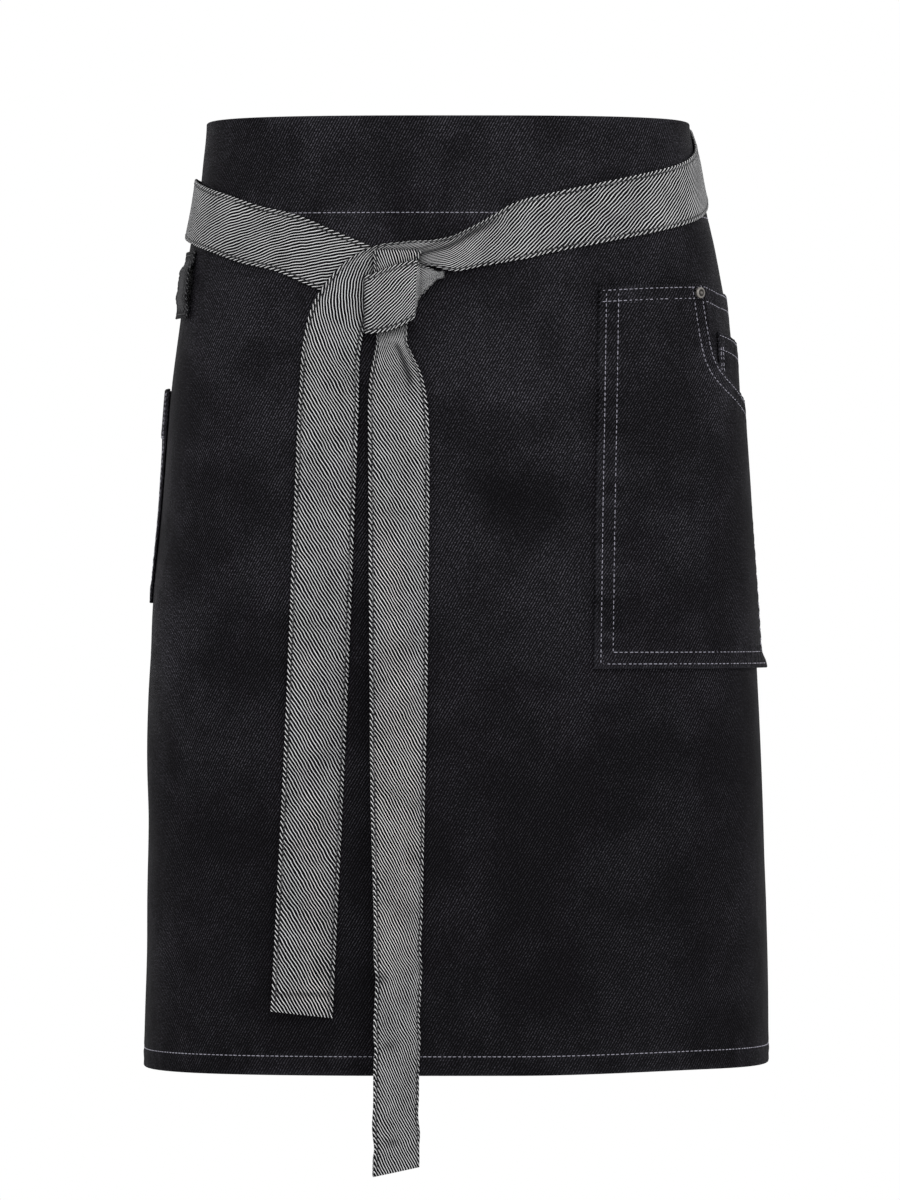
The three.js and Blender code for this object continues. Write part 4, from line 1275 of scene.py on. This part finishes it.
def left_pocket():
    floor = SIDE_TOP - SIDE_HEIGHT
    hem = SIDE_TOP - SIDE_HEM * SIDE_HEIGHT
    columns = spaced(SIDE_FROM, SIDE_FROM + SIDE_WIDTH, 3.5)
    s, z = np.meshgrid(columns, spaced(floor, SIDE_TOP, 3.5, (hem,)))

    def out(a, b):
        across = np.clip((a - SIDE_FROM) / SIDE_WIDTH, 0, 1)
        share = (b - floor) / SIDE_HEIGHT
        return GAP + 2.8 * np.maximum(0, np.sin(np.pi * across)) ** 0.7 * smooth((share - 0.1) / 0.9)

    thick = CLOTH + FOLD * folded(z - hem)
    left, right = SIDE_FROM, SIDE_FROM + SIDE_WIDTH
    seams = [[(left + 1, hem + 1), (right - 1, hem + 1)]]
    for inset in (2.6, 9.0):
        seams.append([(left + inset, SIDE_TOP - 2), (left + inset, floor + inset)])
        seams.append([(left + inset, floor + inset), (right - inset, floor + inset)])
        seams.append([(right - inset, floor + inset), (right - inset, SIDE_TOP - 2)])
    made = cloth_wall("left_patch_pocket", s, z, out(s, z) + thick, out(s, z), DENIM, seams)
    place_piece(made, "pocket_left")

    def surface(a, b):
        return out(a, b) + CLOTH + FOLD * folded(b - hem)

    thread = sewn("left_patch_pocket_topstitch", *seam_stitches(seams, surface), LIGHT_THREAD, seed=13)
    place_piece(thread)


left_pocket()


def tool_loop():
    """A short webbing loop that stands off the cloth between its two sewn ends."""
    width, height, top, rise = 26.0, 43.0, -21.5, 3.2
    left = -0.56 * HALF_PANEL
    s, z = np.meshgrid(spaced(left, left + width, 2.5), spaced(top - height, top, 1.5))

    def out(a, b):
        share = (b - top + height) / height
        middle = smooth((share - 0.12) / 0.2) * smooth((0.88 - share) / 0.2)
        return GAP + rise * middle + 2.4 * smooth((0.4 - share) / 0.4)

    sides = (left + TAPE_SEAM, left + width - TAPE_SEAM)
    seams = [[(side, top - 2), (side, top - height + 2)] for side in sides]
    bars = [[(left + 2, level), (left + width - 2, level)] for level in (top - 2.6, top - height + 2.6)]
    made = cloth_wall("webbing_loop", s, z, out(s, z) + TIE_THICK, out(s, z), DARK_TAPE, [*seams, *bars])
    place_piece(made, "tool_loop")

    def surface(a, b):
        return out(a, b) + TIE_THICK

    places = seam_stitches([*seams, *bars], surface, 3.2)
    thread = sewn("webbing_loop_stitch", *places, DARK_THREAD, length=2.6, seed=17)
    place_piece(thread)


tool_loop()


# Stage: a plain pale floor, soft light from in front and above, and a pale surround
def stage():
    """Builds the floor, the surround and three area lights."""
    mesh = bpy.data.meshes.new("floor")
    ring = [(4.5 * math.cos(a), 4.5 * math.sin(a), -1.05) for a in np.linspace(0, 2 * math.pi, 65)[:-1]]
    mesh.from_pydata(ring, [], [list(range(64))])
    floor = bpy.data.objects.new("floor", mesh)
    made, _, shader = new_material("pale_floor")
    shader["Base Color"].default_value = colour(0.8, 0.8, 0.8)
    shader["Roughness"].default_value = 0.9
    mesh.materials.append(made)
    scene.collection.objects.link(floor)
    world = bpy.data.worlds.new("surround")
    world.use_nodes = True
    background = world.node_tree.nodes["Background"]
    background.inputs["Color"].default_value = colour(1.0, 1.0, 1.0)
    background.inputs["Strength"].default_value = 1.0
    scene.world = world
    for name, place, size, power in (
        ("key_light", (0.3, -3.2, 1.9), 1.6, 30),
        ("fill_light", (2.0, -2.8, 0.5), 2.4, 12),
        ("back_light", (0.6, 3.4, 2.0), 2.4, 20),
    ):
        light = bpy.data.lights.new(name, "AREA")
        light.size = size
        light.energy = power
        lamp = bpy.data.objects.new(name, light)
        lamp.location = place
        direction = -np.array(place) + (0, 0, -0.25)
        lamp.rotation_euler = Vector(direction).to_track_quat("-Z", "Y").to_euler()
        scene.collection.objects.link(lamp)


stage()
